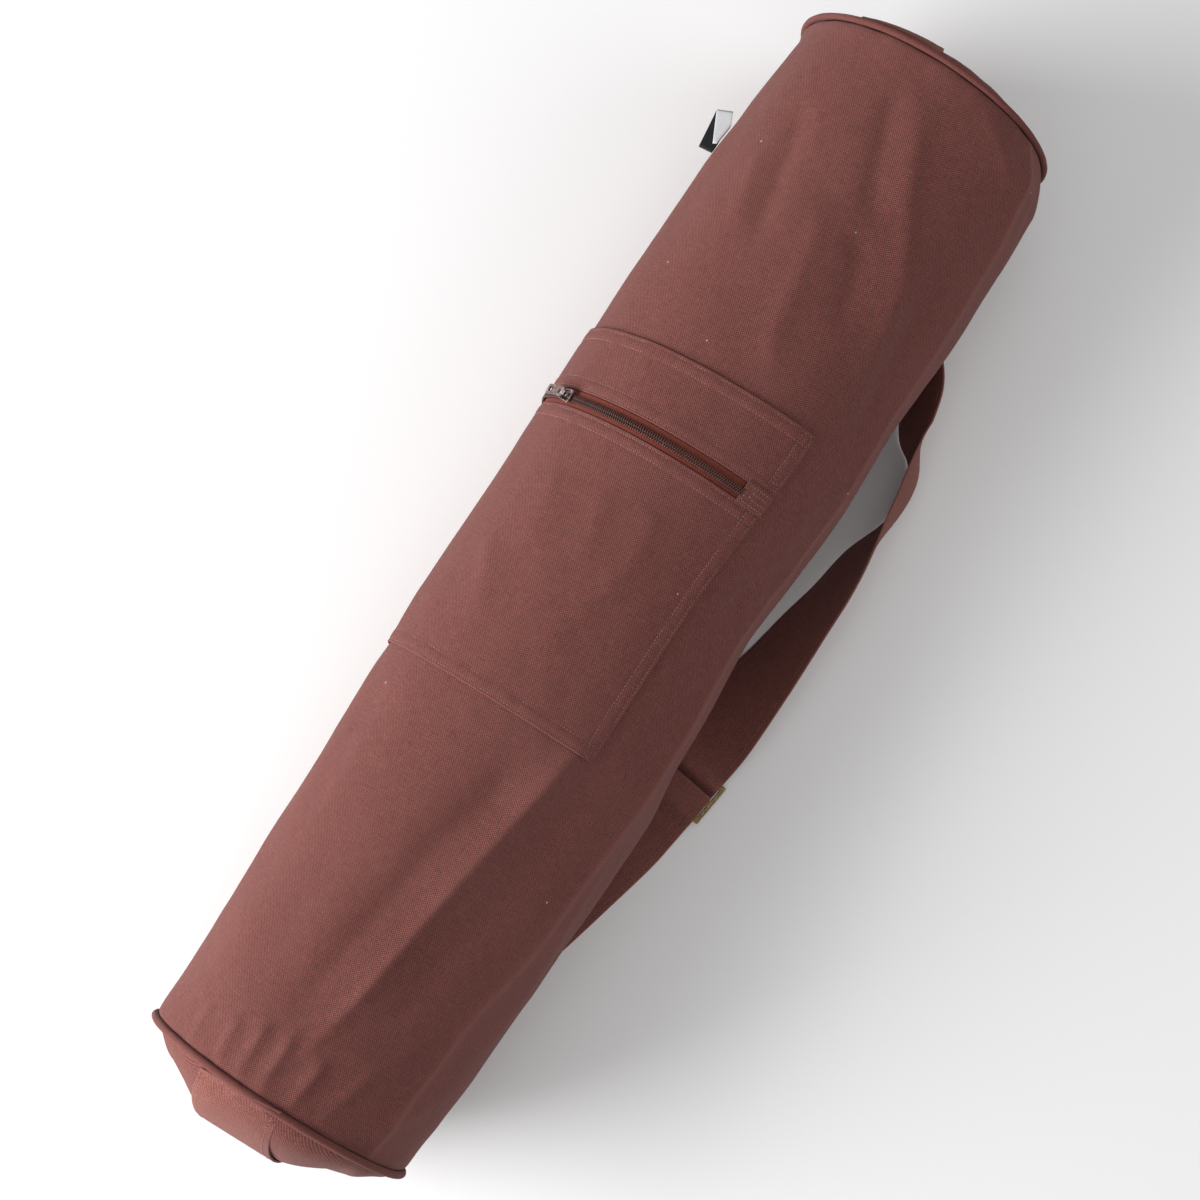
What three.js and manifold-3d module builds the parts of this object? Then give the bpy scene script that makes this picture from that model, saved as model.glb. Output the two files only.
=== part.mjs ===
// A yoga mat bag of brown canvas, lying on its back: a soft tube with a piped panel at each end,
// a patch pocket with a zip over its left side and a shoulder strap that runs beside it.
// Millimetres, +Z up, +X towards the top end, -Y towards the strap. It rests on z = 0.
import * as THREE from "three";
import { mergeVertices } from "three/addons/utils/BufferGeometryUtils.js";
import Module from "manifold-3d";

// Sizes of the bag
const BODY_LENGTH = 676; // between the planes of the two piped seams
const RING_RADIUS = 81.5; // of the tube where it meets a seam
const BODY_HEIGHT = 151; // of the sagging tube halfway along
const CLOTH = 1.5;
const CLEARANCE = 0.3;
const SEAT = 0.7; // between the tube and what is sewn on it
const PIPING = 5;
const TOP_BULGE = 10;
const BOTTOM_BULGE = 29;
const FLAT = 9; // how much the floor flattens the tube's underside

// Sizes of the strap and its fittings
const STRAP_WIDTH = 49;
const STRAP = 1.6;
const SLIDER_LENGTH = 27.6;
const BAR_HEIGHT = 2.2;
const BAR_WIDTH = 3.6;
const SLIDER_SIDE = 3;
const RING_WIRE = 3;
const RING_DEPTH = 17;
const ANCHOR_TAIL = 22; // of the anchor's end behind the ring's bar
const FITTING_SIDE = 1.2; // between the strap's edge and a fitting's side bar
const SETTLE = 9; // how far behind a fitting's bar the strap has come down again
const LOOP_TAIL = 26.4; // of the looped end behind the slider's middle bar

// Sizes of the pocket and its zip
const POCKET_TOP = 126;
const POCKET_HEIGHT = 219;
const BAND_HEIGHT = 43;
const ZIP_OPENING = 11;
const POCKET_RIGHT_ANGLE = 34; // at the pocket's top edge
const POCKET_SLANT = 5; // degrees that the right edge turns in towards the bottom edge
const POCKET_LEFT_ANGLE = -96;
const POCKET_CLOTH = 1.4;
const TAPE = 0.6;
const COIL_TO_PANEL = 2;
const COIL_WIDTH = 5;
const COIL_HEIGHT = 1.8;
const ZIP_SLIDER_ANGLE = -66;
const ZIP_SLIDER_LENGTH = 11;
const ZIP_SLIDER_WIDTH = 8.5;
const ZIP_SLIDER_HEIGHT = 3;
const PULL_LENGTH = 17;
const PULL_WIDTH = 6;
const PULL = 1.2;
const TAB_LENGTH = 18;
const TAB_OVERLAP = 1.5; // of the tab over the pocket's cloth on each side of the zip

// Sizes of the closing zip on the hidden side and of the two labels
const CLOSING_ZIP_LENGTH = 560;
const CLOSING_ZIP_WIDTH = 24;
const CLOSING_ZIP_ANGLE = -128;
const LABEL = 0.8;
const LABEL_REACH = 8;
const WHITE_LABEL_WIDTH = 19;
const BLACK_LABEL_WIDTH = 25;
const LABEL_PLACE = 254;
const LABEL_ANGLE = -84;

// Fineness of the solids
const AROUND = 44;
const ALONG = 27;
const PIPING_SIDES = 6;
const PANEL_RINGS = 5;
const POCKET_STEPS = 22;

const COLOURS = {
  canvas: 0x6d3a37,
  piping: 0x5e3130,
  tape: 0x7a3b33,
  coil: 0x4a3a33,
  nickel: 0x8f8580,
  brass: 0x9a8a62,
  white: 0xc9cdd0,
  black: 0x1c1c1e,
};

// The labels. Columns: name, width, shift along the bag as a share of the width, lift as a
// share of the label's thickness, turn in degrees, colour.
const LABELS = [
  { name: "label_white", width: WHITE_LABEL_WIDTH, shift: 0.16, lift: 2, turn: 9, colour: COLOURS.white },
  { name: "label_black", width: BLACK_LABEL_WIDTH, shift: 0, lift: 0, turn: 3, colour: COLOURS.black },
];

const HALF = BODY_LENGTH / 2;
const LAYER = STRAP + CLEARANCE;
const DEGREES_A_MM = 180 / (Math.PI * RING_RADIUS * 1.05); // round the widened tube
const radians = THREE.MathUtils.degToRad;

// The tube's sections. Columns: place as a share of half the length (-1 is the bottom seam),
// half-widths to the left and to the right as shares of the ring's radius, sag as a share of
// the way from the ring's height to the tube's height halfway along.
const SECTIONS = [
  { place: -1.0, left: 1.0, right: 1.0, sag: 0 },
  { place: -0.9, left: 1.006, right: 1.047, sag: 0.15 },
  { place: -0.8, left: 1.018, right: 1.077, sag: 0.4 },
  { place: -0.6, left: 1.038, right: 1.11, sag: 0.8 },
  { place: -0.42, left: 1.052, right: 1.133, sag: 1 },
  { place: -0.3, left: 1.077, right: 1.132, sag: 1 },
  { place: -0.18, left: 1.106, right: 1.094, sag: 1 },
  { place: 0.05, left: 1.096, right: 1.03, sag: 1 },
  { place: 0.19, left: 1.103, right: 1.071, sag: 1 },
  { place: 0.32, left: 1.114, right: 1.107, sag: 1 },
  { place: 0.49, left: 1.1, right: 1.086, sag: 0.9 },
  { place: 0.7, left: 1.083, right: 1.124, sag: 0.6 },
  { place: 0.83, left: 1.058, right: 1.12, sag: 0.35 },
  { place: 0.93, left: 1.026, right: 1.097, sag: 0.15 },
  { place: 1.0, left: 1.0, right: 1.0, sag: 0 },
];

// The sharp fold along the right side. Columns: place, angle from the crest in degrees,
// height as a share of the ring's radius.
const RIGHT_FOLD = [
  { place: -1.0, angle: 58, height: 0 },
  { place: -0.9, angle: 59, height: 0.022 },
  { place: -0.45, angle: 58, height: 0.03 },
  { place: -0.1, angle: 63, height: 0.028 },
  { place: 0.2, angle: 68, height: 0.02 },
  { place: 0.5, angle: 66, height: 0.03 },
  { place: 0.8, angle: 60, height: 0.034 },
  { place: 0.94, angle: 55, height: 0.03 },
  { place: 1.0, angle: 50, height: 0 },
];
const FOLD_SPREAD = 11; // degrees
const LEFT_FOLD_ANGLE = -80;
const LEFT_FOLD_HEIGHT = 0.012;

// Folds that run slantwise along the tube. Columns: the places and angles of their two ends,
// height as a share of the ring's radius, spread in degrees.
const SLANTED_FOLDS = [
  { from: -0.97, fromAngle: -2, to: -0.22, toAngle: 26, height: 0.032, spread: 8 },
  { from: -0.95, fromAngle: -15, to: -0.25, toAngle: 9, height: -0.018, spread: 8 },
  { from: 0.42, fromAngle: 38, to: 0.95, toAngle: 6, height: 0.022, spread: 8 },
  { from: 0.5, fromAngle: 20, to: 0.95, toAngle: -10, height: -0.018, spread: 7 },
  { from: 0.52, fromAngle: -22, to: 0.88, toAngle: -44, height: -0.022, spread: 7 },
];

// The long dents. Columns: place, angle from the crest, reach along as a share of half the
// length, reach round in degrees, depth as a share of the ring's radius.
const DENTS = [
  { place: 0.58, angle: 48, along: 0.2, round: 9, depth: 0.024 },
  { place: 0.1, angle: 50, along: 0.2, round: 9, depth: 0.02 },
  { place: -0.6, angle: 40, along: 0.3, round: 14, depth: 0.03 },
  { place: -0.7, angle: -34, along: 0.22, round: 12, depth: 0.012 },
  { place: -0.2, angle: -135, along: 0.3, round: 14, depth: 0.03 },
  { place: 0.5, angle: 128, along: 0.22, round: 12, depth: 0.02 },
];

// Where the bottom panel stands out most, across its width. Columns: side as a share of the
// ring's radius (+1 is the left end), bulge as a share of the greatest bulge.
const BULGE_ACROSS = [
  { side: -1.0, bulge: 0 },
  { side: -0.87, bulge: 0.24 },
  { side: -0.7, bulge: 0.52 },
  { side: -0.25, bulge: 1 },
  { side: 0.37, bulge: 1 },
  { side: 0.7, bulge: 0.53 },
  { side: 1.0, bulge: 0 },
];

// The strap's way from under the top seam to the slider and on to the hidden ring, as its
// middle line. Columns: place along and side across as shares of half the length and of the
// ring's radius, layers of strap below it, and the heading and the tilt of its outer edge in
// degrees. Its inner edge stays on the floor.
const STRAP_ROUTE = [
  { place: 0.93, side: 0.24, layers: 0, heading: -76, tilt: 0 },
  { place: 0.86, side: 0.06, layers: 0, heading: -62, tilt: 3 },
  { place: 0.79, side: -0.2, layers: 0, heading: -52, tilt: 11 },
  { place: 0.72, side: -0.56, layers: 0, heading: -46, tilt: 24 },
  { place: 0.67, side: -0.92, layers: 0, heading: -38, tilt: 45 },
  { place: 0.625, side: -1.19, layers: 0, heading: -28, tilt: 68 },
  { place: 0.55, side: -1.37, layers: 0, heading: -70, tilt: 88 },
  { place: 0.49, side: -1.465, layers: 0, heading: -78, tilt: 101 },
  { place: 0.43, side: -1.465, layers: 0, heading: -92, tilt: 96 },
  { place: 0.38, side: -1.44, layers: 0, heading: -93, tilt: 83 },
  { place: 0.3, side: -1.42, layers: 0, heading: -93, tilt: 73 },
  { place: 0.21, side: -1.395, layers: 0, heading: -94, tilt: 66 },
  { place: 0.14, side: -1.36, layers: 0, heading: -94, tilt: 58 },
  { place: 0.04, side: -1.31, layers: 0, heading: -95, tilt: 46 },
  { place: -0.04, side: -1.26, layers: 1, heading: -96, tilt: 29 },
  { place: -0.1, side: -1.225, layers: 2, heading: -97, tilt: 12 },
];
const SLIDER_AT = { place: -0.192, side: -1.171, heading: -97.6 };

// From the slider to the ring. Columns as above, without layers and tilt.
const RING_ROUTE = [
  { place: -0.325, side: -1.095, heading: -103 },
  { place: -0.42, side: -1.0, heading: -104 },
  { place: -0.55, side: -0.86, heading: -105 },
  { place: -0.67, side: -0.71, heading: -109 },
];
const RING_AT = { place: -0.775, side: -0.55, heading: -116 };

// From under the bottom seam to the ring.
const ANCHOR_ROUTE = [
  { place: -0.925, side: -0.19, heading: -102 },
  { place: -0.88, side: -0.28, heading: -112 },
];

// Where the strap's band crosses each end panel. Columns: side at the near rim and at the
// floor, as shares of the ring's radius.
const TOP_BAND = { near: 0.38, floor: 0.32 };
const BOTTOM_BAND = { near: 0.22, floor: -0.14 };

const wasm = await Module();
wasm.setup();

// Smooth reading of one column of a table at a place between its rows.
function read(table, column, at, key = "place") {
  const last = table.length - 1;
  if (at <= table[0][key]) return table[0][column];
  if (at >= table[last][key]) return table[last][column];
  const i = table.findIndex((row) => row[key] > at);
  const [a, b] = [table[i - 1], table[i]];
  const share = (at - a[key]) / (b[key] - a[key]);
  const ease = share * share * (3 - 2 * share);
  const blend = (share + ease) / 2;
  return a[column] + (b[column] - a[column]) * blend;
}

const FLOOR_TURN = 2; // rounding where the tube's side meets its flat underside

function bell(x) {
  return Math.exp(-x * x);
}

// The larger of two heights, with a rounded turn between them.
function roundedMax(a, b, turn) {
  const near = Math.max(turn - Math.abs(a - b), 0) / turn;
  return Math.max(a, b) + (near * near * turn) / 4;
}

// Height of the lowest cloth at a seam: the piping above one layer of strap.
const RING_FLOOR = CLEARANCE + LAYER + PIPING / 2;
const RING_HEIGHT = RING_FLOOR + RING_RADIUS - FLAT / 2;
const MIDDLE_HEIGHT = BODY_HEIGHT / 2;

// What lies under the tube, as spots with a height, filled once the strap's way is known.
const underlay = [];

function floorUnder(x, y, base) {
  let height = base;
  for (const spot of underlay) {
    const away = Math.hypot(x - spot.x, y - spot.y);
    const fade = 1 - THREE.MathUtils.smoothstep(away, spot.reach, 2 * spot.reach);
    height = Math.max(height, spot.height * fade);
  }
  return height;
}

// A point on the tube: x along it, the angle round it from the crest (positive to the right)
// and how far out from the cloth's outer face.
function tubePoint(x, angle, out = 0) {
  const place = THREE.MathUtils.clamp(x / HALF, -1, 1);
  const a = radians(angle);
  const sag = read(SECTIONS, "sag", place);
  const half = read(SECTIONS, Math.sin(a) > 0 ? "right" : "left", place) * RING_RADIUS;
  const middle = RING_HEIGHT + (MIDDLE_HEIGHT - RING_HEIGHT) * sag;
  const top = RING_RADIUS + (BODY_HEIGHT - MIDDLE_HEIGHT - RING_RADIUS) * sag;
  const base = RING_FLOOR * (1 - sag);
  const bottom = middle - base + FLAT / 2 + (FLAT / 2) * sag;
  let swell = 0;
  const foldAngle = read(RIGHT_FOLD, "angle", place);
  swell += read(RIGHT_FOLD, "height", place) * Math.exp(-Math.abs(angle - foldAngle) / FOLD_SPREAD);
  const ends = 1 - Math.pow(Math.abs(place), 8);
  swell += LEFT_FOLD_HEIGHT * ends * Math.exp(-Math.abs(angle - LEFT_FOLD_ANGLE) / FOLD_SPREAD);
  for (const dent of DENTS) {
    const along = bell((place - dent.place) / dent.along);
    swell -= dent.depth * ends * along * bell((angle - dent.angle) / dent.round);
  }
  for (const fold of SLANTED_FOLDS) {
    const share = (place - fold.from) / (fold.to - fold.from);
    const line = fold.fromAngle + (fold.toAngle - fold.fromAngle) * share;
    const fade = Math.max(1 - Math.pow(2 * share - 1, 4), 0);
    swell += fold.height * ends * fade * bell((angle - line) / fold.spread);
  }
  const grow = 1 + swell;
  const rise = Math.cos(a) > 0 ? top : bottom;
  const y = -Math.sin(a) * (half * grow + out);
  const z = middle + Math.cos(a) * (rise * grow + out);
  const floor = floorUnder(x, y, base) - Math.min(out, 0);
  return new THREE.Vector3(x, y, roundedMax(z, floor, FLOOR_TURN));
}

// Two triangles of a four-sided face, cut along one diagonal or the other.
function quad(a, b, c, d, crossed) {
  return crossed ? [a, b, d, b, c, d] : [a, b, c, a, c, d];
}

// One closed solid from a grid of points. rows[i][j] is a ring of points in order, and the
// first and last rows are closed with flat ends. crossed(i, j) says which faces are cut along
// the other diagonal, so that the two sides of a thin sheet are cut alike.
function loft(rows, closed = false, crossed = () => false) {
  const n = rows[0].length;
  const positions = rows.flat().flatMap((p) => [p.x, p.y, p.z]);
  const faces = [];
  const last = closed ? rows.length : rows.length - 1;
  for (let i = 0; i < last; i++) {
    const next = (i + 1) % rows.length;
    for (let j = 0; j < n; j++) {
      const k = (j + 1) % n;
      faces.push(...quad(i * n + j, next * n + j, next * n + k, i * n + k, crossed(i, j)));
    }
  }
  if (!closed) {
    for (const [row, flip] of [[0, false], [rows.length - 1, true]]) {
      const flat = capOf(rows[row]);
      for (const [a, b, c] of flat) {
        const tri = flip ? [a, c, b] : [a, b, c];
        faces.push(...tri.map((v) => row * n + v));
      }
    }
  }
  return outward(geometryOf(positions, faces));
}

// Triangles that close a ring of points: a strip between its two sides.
function capOf(ring) {
  const n = ring.length;
  const faces = [];
  let [a, b] = [0, n - 1];
  while (b - a > 1) {
    faces.push([a, a + 1, b]);
    if (b - a > 2) faces.push([a + 1, b - 1, b]);
    a += 1;
    b -= 1;
  }
  return faces;
}

function geometryOf(positions, faces) {
  const geometry = new THREE.BufferGeometry();
  geometry.setAttribute("position", new THREE.Float32BufferAttribute(positions, 3));
  geometry.setIndex(faces);
  return geometry;
}

// Turns a closed surface so that its faces look out.
function outward(geometry) {
  const p = geometry.getAttribute("position");
  const index = geometry.index.array;
  let volume = 0;
  const [a, b, c] = [new THREE.Vector3(), new THREE.Vector3(), new THREE.Vector3()];
  for (let i = 0; i < index.length; i += 3) {
    a.fromBufferAttribute(p, index[i]);
    b.fromBufferAttribute(p, index[i + 1]);
    c.fromBufferAttribute(p, index[i + 2]);
    volume += a.dot(b.cross(c));
  }
  if (volume < 0) {
    for (let i = 0; i < index.length; i += 3) {
      [index[i + 1], index[i + 2]] = [index[i + 2], index[i + 1]];
    }
  }
  geometry.computeVertexNormals();
  return geometry;
}

function mesh(name, geometry, colour, roughness = 0.9, metalness = 0) {
  const material = new THREE.MeshStandardMaterial({ color: colour, roughness, metalness });
  const made = new THREE.Mesh(geometry, material);
  made.name = name;
  return made;
}

function spaced(from, to, steps) {
  return Array.from({ length: steps + 1 }, (_, i) => from + ((to - from) * i) / steps);
}

// The angles of the tube's facets, with one of them on the fold along the right side.
function angles(place) {
  const fold = read(RIGHT_FOLD, "angle", place);
  const quarter = Math.round(AROUND / 4);
  return [
    ...spaced(-180, LEFT_FOLD_ANGLE, quarter).slice(0, -1),
    ...spaced(LEFT_FOLD_ANGLE, fold, 2 * quarter).slice(0, -1),
    ...spaced(fold, 180, AROUND - 3 * quarter).slice(0, -1),
  ];
}

function tube() {
  const end = HALF - PIPING / 2 - CLEARANCE;
  const rows = [];
  for (const x of spaced(-end, end, ALONG)) {
    const ring = angles(x / HALF);
    rows.push({ x, ring });
  }
  const outer = rows.map(({ x, ring }) => ring.map((angle) => tubePoint(x, angle)));
  const inner = rows.map(({ x, ring }) => ring.map((angle) => tubePoint(x, angle, -CLOTH)));
  return shell(outer, inner);
}

// A tube wall between an outer and an inner grid, closed round each end.
function shell(outer, inner) {
  const rows = [...outer, ...inner.reverse()];
  return loft(rows, true, (i) => i >= outer.length);
}

// A thin sheet from rows of points that go over its upper side and back under it.
function thin(rows) {
  return loft(rows, false, (i, j) => j >= rows[0].length / 2);
}

// A patch sewn on the tube between two places, from an angle on its left to one on its right
// that may change along it.
function patch(from, to, left, right, low, high, steps, strips) {
  const xs = spaced(from, to, strips);
  const rows = spaced(0, 1, steps).map((share) => {
    const at = (x, out) => tubePoint(x, left + (right(x) - left) * share, out);
    const upper = xs.map((x) => at(x, high));
    const lower = xs.map((x) => at(x, low)).reverse();
    return [...upper, ...lower];
  });
  return thin(rows);
}

// The piped seam's middle line round an end, as points of the tube's outline there.
function seam(end, out) {
  const x = end * HALF;
  return angles(end).map((angle) => tubePoint(x, angle, out));
}

function piping(end) {
  const line = seam(end, 0);
  const centre = new THREE.Vector3(end * HALF, 0, RING_HEIGHT);
  const rows = line.map((p) => {
    const away = p.clone().sub(centre).normalize();
    const along = new THREE.Vector3(1, 0, 0);
    return spaced(0, 360, PIPING_SIDES).slice(0, -1).map((turn) => {
      const a = radians(turn);
      const radius = PIPING / 2;
      return p.clone().addScaledVector(away, Math.cos(a) * radius)
        .addScaledVector(along, Math.sin(a) * radius);
    });
  });
  return loft(rows, true);
}

// How far an end panel stands out at a side and a height.
function bulge(end, y, z) {
  const half = RING_RADIUS;
  const side = THREE.MathUtils.clamp(y / half, -1, 1);
  const chord = Math.sqrt(Math.max(1 - side * side, 0));
  const up = chord > 0 ? (z - RING_HEIGHT) / (half * chord) : 1;
  const round = Math.max(1 - up * up, 0);
  if (end > 0) return TOP_BULGE * round * (1 - side * side);
  return BOTTOM_BULGE * Math.pow(round, 0.7) * read(BULGE_ACROSS, "bulge", side, "side");
}

// A point of an end panel's outer face, pushed out by a distance.
function panelPoint(end, y, z, out = 0) {
  return new THREE.Vector3(end * (HALF + CLOTH / 2 + bulge(end, y, z) + out), y, z);
}

function panel(end) {
  const inset = -PIPING / 2 - CLEARANCE;
  const rim = seam(end, inset);
  const centre = new THREE.Vector3(0, 0, RING_HEIGHT);
  const faceRows = (out) => spaced(1, 0, PANEL_RINGS).slice(0, -1).map((share) =>
    rim.map((p) => {
      const q = centre.clone().lerp(new THREE.Vector3(0, p.y, p.z), share);
      return panelPoint(end, q.y, q.z, out);
    }));
  const outer = faceRows(0);
  const inner = faceRows(-CLOTH);
  return disc(outer, inner, panelPoint(end, 0, RING_HEIGHT), panelPoint(end, 0, RING_HEIGHT, -CLOTH));
}

// A round sheet from the rings of its two faces and their middle points.
function disc(outer, inner, outerMiddle, innerMiddle) {
  const rows = [...outer.slice().reverse(), ...inner];
  const n = rows[0].length;
  const positions = rows.flat().flatMap((p) => [p.x, p.y, p.z]);
  positions.push(...outerMiddle.toArray(), ...innerMiddle.toArray());
  const [top, bottom] = [rows.length * n, rows.length * n + 1];
  const faces = [];
  for (let i = 0; i + 1 < rows.length; i++) {
    for (let j = 0; j < n; j++) {
      const k = (j + 1) % n;
      const below = (i + 1) * n;
      faces.push(...quad(i * n + j, below + j, below + k, i * n + k, i >= outer.length));
    }
  }
  const lastRow = (rows.length - 1) * n;
  for (let j = 0; j < n; j++) {
    const k = (j + 1) % n;
    faces.push(top, j, k);
    faces.push(bottom, lastRow + k, lastRow + j);
  }
  return outward(geometryOf(positions, faces));
}

function headingVector(heading, tilt = 0) {
  const [h, t] = [radians(heading), radians(tilt)];
  return new THREE.Vector3(Math.cos(t) * Math.cos(h), Math.cos(t) * Math.sin(h), Math.sin(t));
}

// One station of a strap: its middle and the direction of its outer edge.
function station(x, y, z, heading, tilt = 0) {
  return { point: new THREE.Vector3(x, y, z), edge: headingVector(heading, tilt) };
}

const STRAP_FLOOR = CLEARANCE / 3 + STRAP / 2;

function onFloor(row, layers = 0) {
  const height = STRAP_FLOOR + layers * LAYER;
  return station(row.place * HALF, row.side * RING_RADIUS, height, row.heading);
}

// A flat strap through stations, as one solid.
function ribbon(stations, width, thickness) {
  const rows = stations.map((s, i) => {
    const before = stations[Math.max(i - 1, 0)].point;
    const after = stations[Math.min(i + 1, stations.length - 1)].point;
    const along = after.clone().sub(before).normalize();
    const edge = s.edge.clone().addScaledVector(along, -s.edge.dot(along)).normalize();
    const normal = along.clone().cross(edge).normalize();
    const corner = (w, t) => s.point.clone()
      .addScaledVector(edge, w * width / 2)
      .addScaledVector(normal, t * thickness / 2);
    return [corner(-1, -1), corner(0, -1), corner(1, -1), corner(1, 1), corner(0, 1), corner(-1, 1)];
  });
  return thin(rows);
}

// Stations between the given ones along a smooth curve.
function smoothed(stations, steps) {
  const curve = new THREE.CatmullRomCurve3(stations.map((s) => s.point), false, "centripetal");
  const made = [];
  for (let i = 0; i + 1 < stations.length; i++) {
    for (let k = 0; k < steps; k++) {
      const point = curve.getPoint((i + k / steps) / (stations.length - 1));
      const edge = stations[i].edge.clone().lerp(stations[i + 1].edge, k / steps).normalize();
      made.push({ point, edge });
    }
  }
  made.push(stations[stations.length - 1]);
  return made;
}

// Points round a bar's outline at a distance, from its top over one side to its bottom, as
// pairs of a step along and a step up. Side 1 is over the far side.
function roundBar(halfWidth, halfHeight, away, side, turns = 3) {
  const top = spaced(90, 0, turns).map((turn) => [
    side * (halfWidth + away * Math.cos(radians(turn))),
    halfHeight + away * Math.sin(radians(turn)),
  ]);
  const bottom = top.slice().reverse().map(([along, up]) => [along, -up]);
  return halfHeight > 0 ? [...top, ...bottom] : [...top, ...bottom.slice(1)];
}

// The strap's band over an end panel, from the near rim down and round the seam's piping.
function bandOver(end, band) {
  const out = CLEARANCE * 2 + STRAP / 2;
  const top = RING_HEIGHT + RING_RADIUS * Math.sqrt(1 - band.near * band.near) - PIPING;
  const lowest = tubePoint(end * HALF, 180).z;
  const roundPiping = PIPING / 2 + CLEARANCE * 2 + STRAP / 2;
  const made = [];
  for (const share of [0, 0.04, 0.1, 0.2, 0.35, 0.5, 0.65, 0.8, 0.9, 0.96, 0.99]) {
    const y = (band.near + (band.floor - band.near) * share) * RING_RADIUS;
    const z = top + (lowest - top) * share;
    const most = Math.max(...spaced(-0.5, 0.5, 4).map((w) => bulge(end, y + w * STRAP_WIDTH, z)));
    const x = end * (HALF + Math.max(CLOTH / 2 + most + out, roundPiping));
    made.push(station(x, y, z, -90));
  }
  const y = band.floor * RING_RADIUS;
  for (const [along, up] of roundBar(0, 0, roundPiping, 1).slice(3)) {
    const z = Math.max(lowest + up, STRAP_FLOOR);
    made.push(station(end * (HALF + along), y, z, -90));
  }
  made.push(station(end * (HALF - 2 * PIPING), y, STRAP_FLOOR, -90));
  return made;
}

// The frame that a fitting lies in: its middle, the direction across it and along it.
function fittingFrame(at, height) {
  const across = headingVector(at.heading);
  const along = new THREE.Vector3(across.y, -across.x, 0);
  const middle = new THREE.Vector3(at.place * HALF, at.side * RING_RADIUS, height);
  return { across, along, middle, heading: at.heading };
}

function place(frame, along, height) {
  const point = frame.middle.clone().addScaledVector(frame.along, along);
  return station(point.x, point.y, frame.middle.z + height, frame.heading);
}

const SLIDER_HEIGHT = STRAP_FLOOR + 2 * LAYER - STRAP / 2 + BAR_HEIGHT / 2;
const OVER_BAR = BAR_HEIGHT / 2 + CLEARANCE + STRAP / 2;
const slider = fittingFrame(SLIDER_AT, SLIDER_HEIGHT);
const END_BAR = SLIDER_LENGTH / 2 - BAR_WIDTH / 2;
const RING_MIDDLE = STRAP_FLOOR + STRAP / 2 + CLEARANCE + RING_WIRE / 2;
const ring = fittingFrame(RING_AT, RING_MIDDLE);
const OVER_WIRE = RING_WIRE / 2 + CLEARANCE + STRAP / 2;
const NEAR_WIRE = (RING_DEPTH - RING_WIRE) / 2;

// The whole strap: over the top panel, under the tube, beside it, through the slider, round
// the hidden ring and back to its looped end on the slider's middle bar.
function strapStations() {
  const free = STRAP_ROUTE.map((row) =>
    station(
      row.place * HALF,
      row.side * RING_RADIUS,
      STRAP_FLOOR + row.layers * LAYER + (STRAP_WIDTH / 2) * Math.sin(radians(row.tilt)),
      row.heading,
      row.tilt,
    ));
  const turn = STRAP_FLOOR - SLIDER_HEIGHT;
  const slot = END_BAR - BAR_WIDTH;
  const down = [
    place(slider, -END_BAR - SETTLE * 0.45, OVER_BAR),
    place(slider, -END_BAR + BAR_WIDTH / 2, OVER_BAR),
    place(slider, -slot * 0.98, OVER_BAR * 0.55),
    place(slider, -slot * 0.67, turn * 0.5),
    place(slider, -slot * 0.38, turn * 0.93),
    place(slider, -slot * 0.12, turn),
    place(slider, END_BAR, turn),
  ];
  const away = RING_ROUTE.map((row) => onFloor(row));
  const back = RING_ROUTE.slice().reverse().map((row) => onFloor(row, 1));
  const loop = [
    place(slider, LOOP_TAIL + SETTLE * 0.8, turn + LAYER * 1.1),
    place(slider, LOOP_TAIL + SETTLE * 0.1, turn + LAYER * 2.1),
    place(slider, END_BAR + SETTLE, turn + LAYER * 2.6),
    place(slider, END_BAR + BAR_WIDTH / 2, OVER_BAR + LAYER),
    place(slider, END_BAR / 2, OVER_BAR + LAYER * 0.7),
    ...roundBar(BAR_WIDTH / 2, BAR_HEIGHT / 2, CLEARANCE + STRAP / 2, -1)
      .map(([along, up]) => place(slider, along, up)),
    place(slider, BAR_WIDTH / 2 + 2 * CLEARANCE, -OVER_BAR),
    place(slider, END_BAR - BAR_WIDTH / 2 - STRAP, OVER_BAR * 0.87),
    place(slider, END_BAR + BAR_WIDTH / 2, OVER_BAR),
    place(slider, END_BAR + SETTLE, turn + LAYER * 1.4),
    place(slider, LOOP_TAIL, turn + LAYER),
  ];
  return { over: bandOver(1, TOP_BAND), free, down, away, round: turnRound(-1), back, loop };
}

// The turn of a strap round one of the ring's two bars, from below it to above it: side -1 is
// the bar nearer the slider.
function turnRound(side) {
  const bar = side * NEAR_WIRE;
  const turned = roundBar(RING_WIRE / 2, RING_WIRE / 2, CLEARANCE + STRAP / 2, -side).reverse();
  return [
    place(ring, bar + side * 2 * RING_WIRE, -OVER_WIRE),
    place(ring, bar + side * (RING_WIRE / 2), -OVER_WIRE),
    ...turned.map(([along, up]) => place(ring, bar + along, up)),
    place(ring, bar + side * (RING_WIRE / 2), OVER_WIRE),
    place(ring, bar + side * 2 * RING_WIRE, OVER_WIRE * 0.8),
  ];
}

const way = strapStations();
const strapLine = [
  ...way.over,
  ...smoothed([way.over.at(-1), ...way.free], 2).slice(1),
  ...way.down,
  ...smoothed(way.away, 2),
  ...way.round,
  ...smoothed(way.back, 2),
  ...way.loop,
];

const anchorLine = [
  ...bandOver(-1, BOTTOM_BAND),
  ...ANCHOR_ROUTE.map((row) => onFloor(row)),
  ...turnRound(1),
  place(ring, NEAR_WIRE + ANCHOR_TAIL, STRAP_FLOOR + LAYER - RING_MIDDLE),
];

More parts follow.
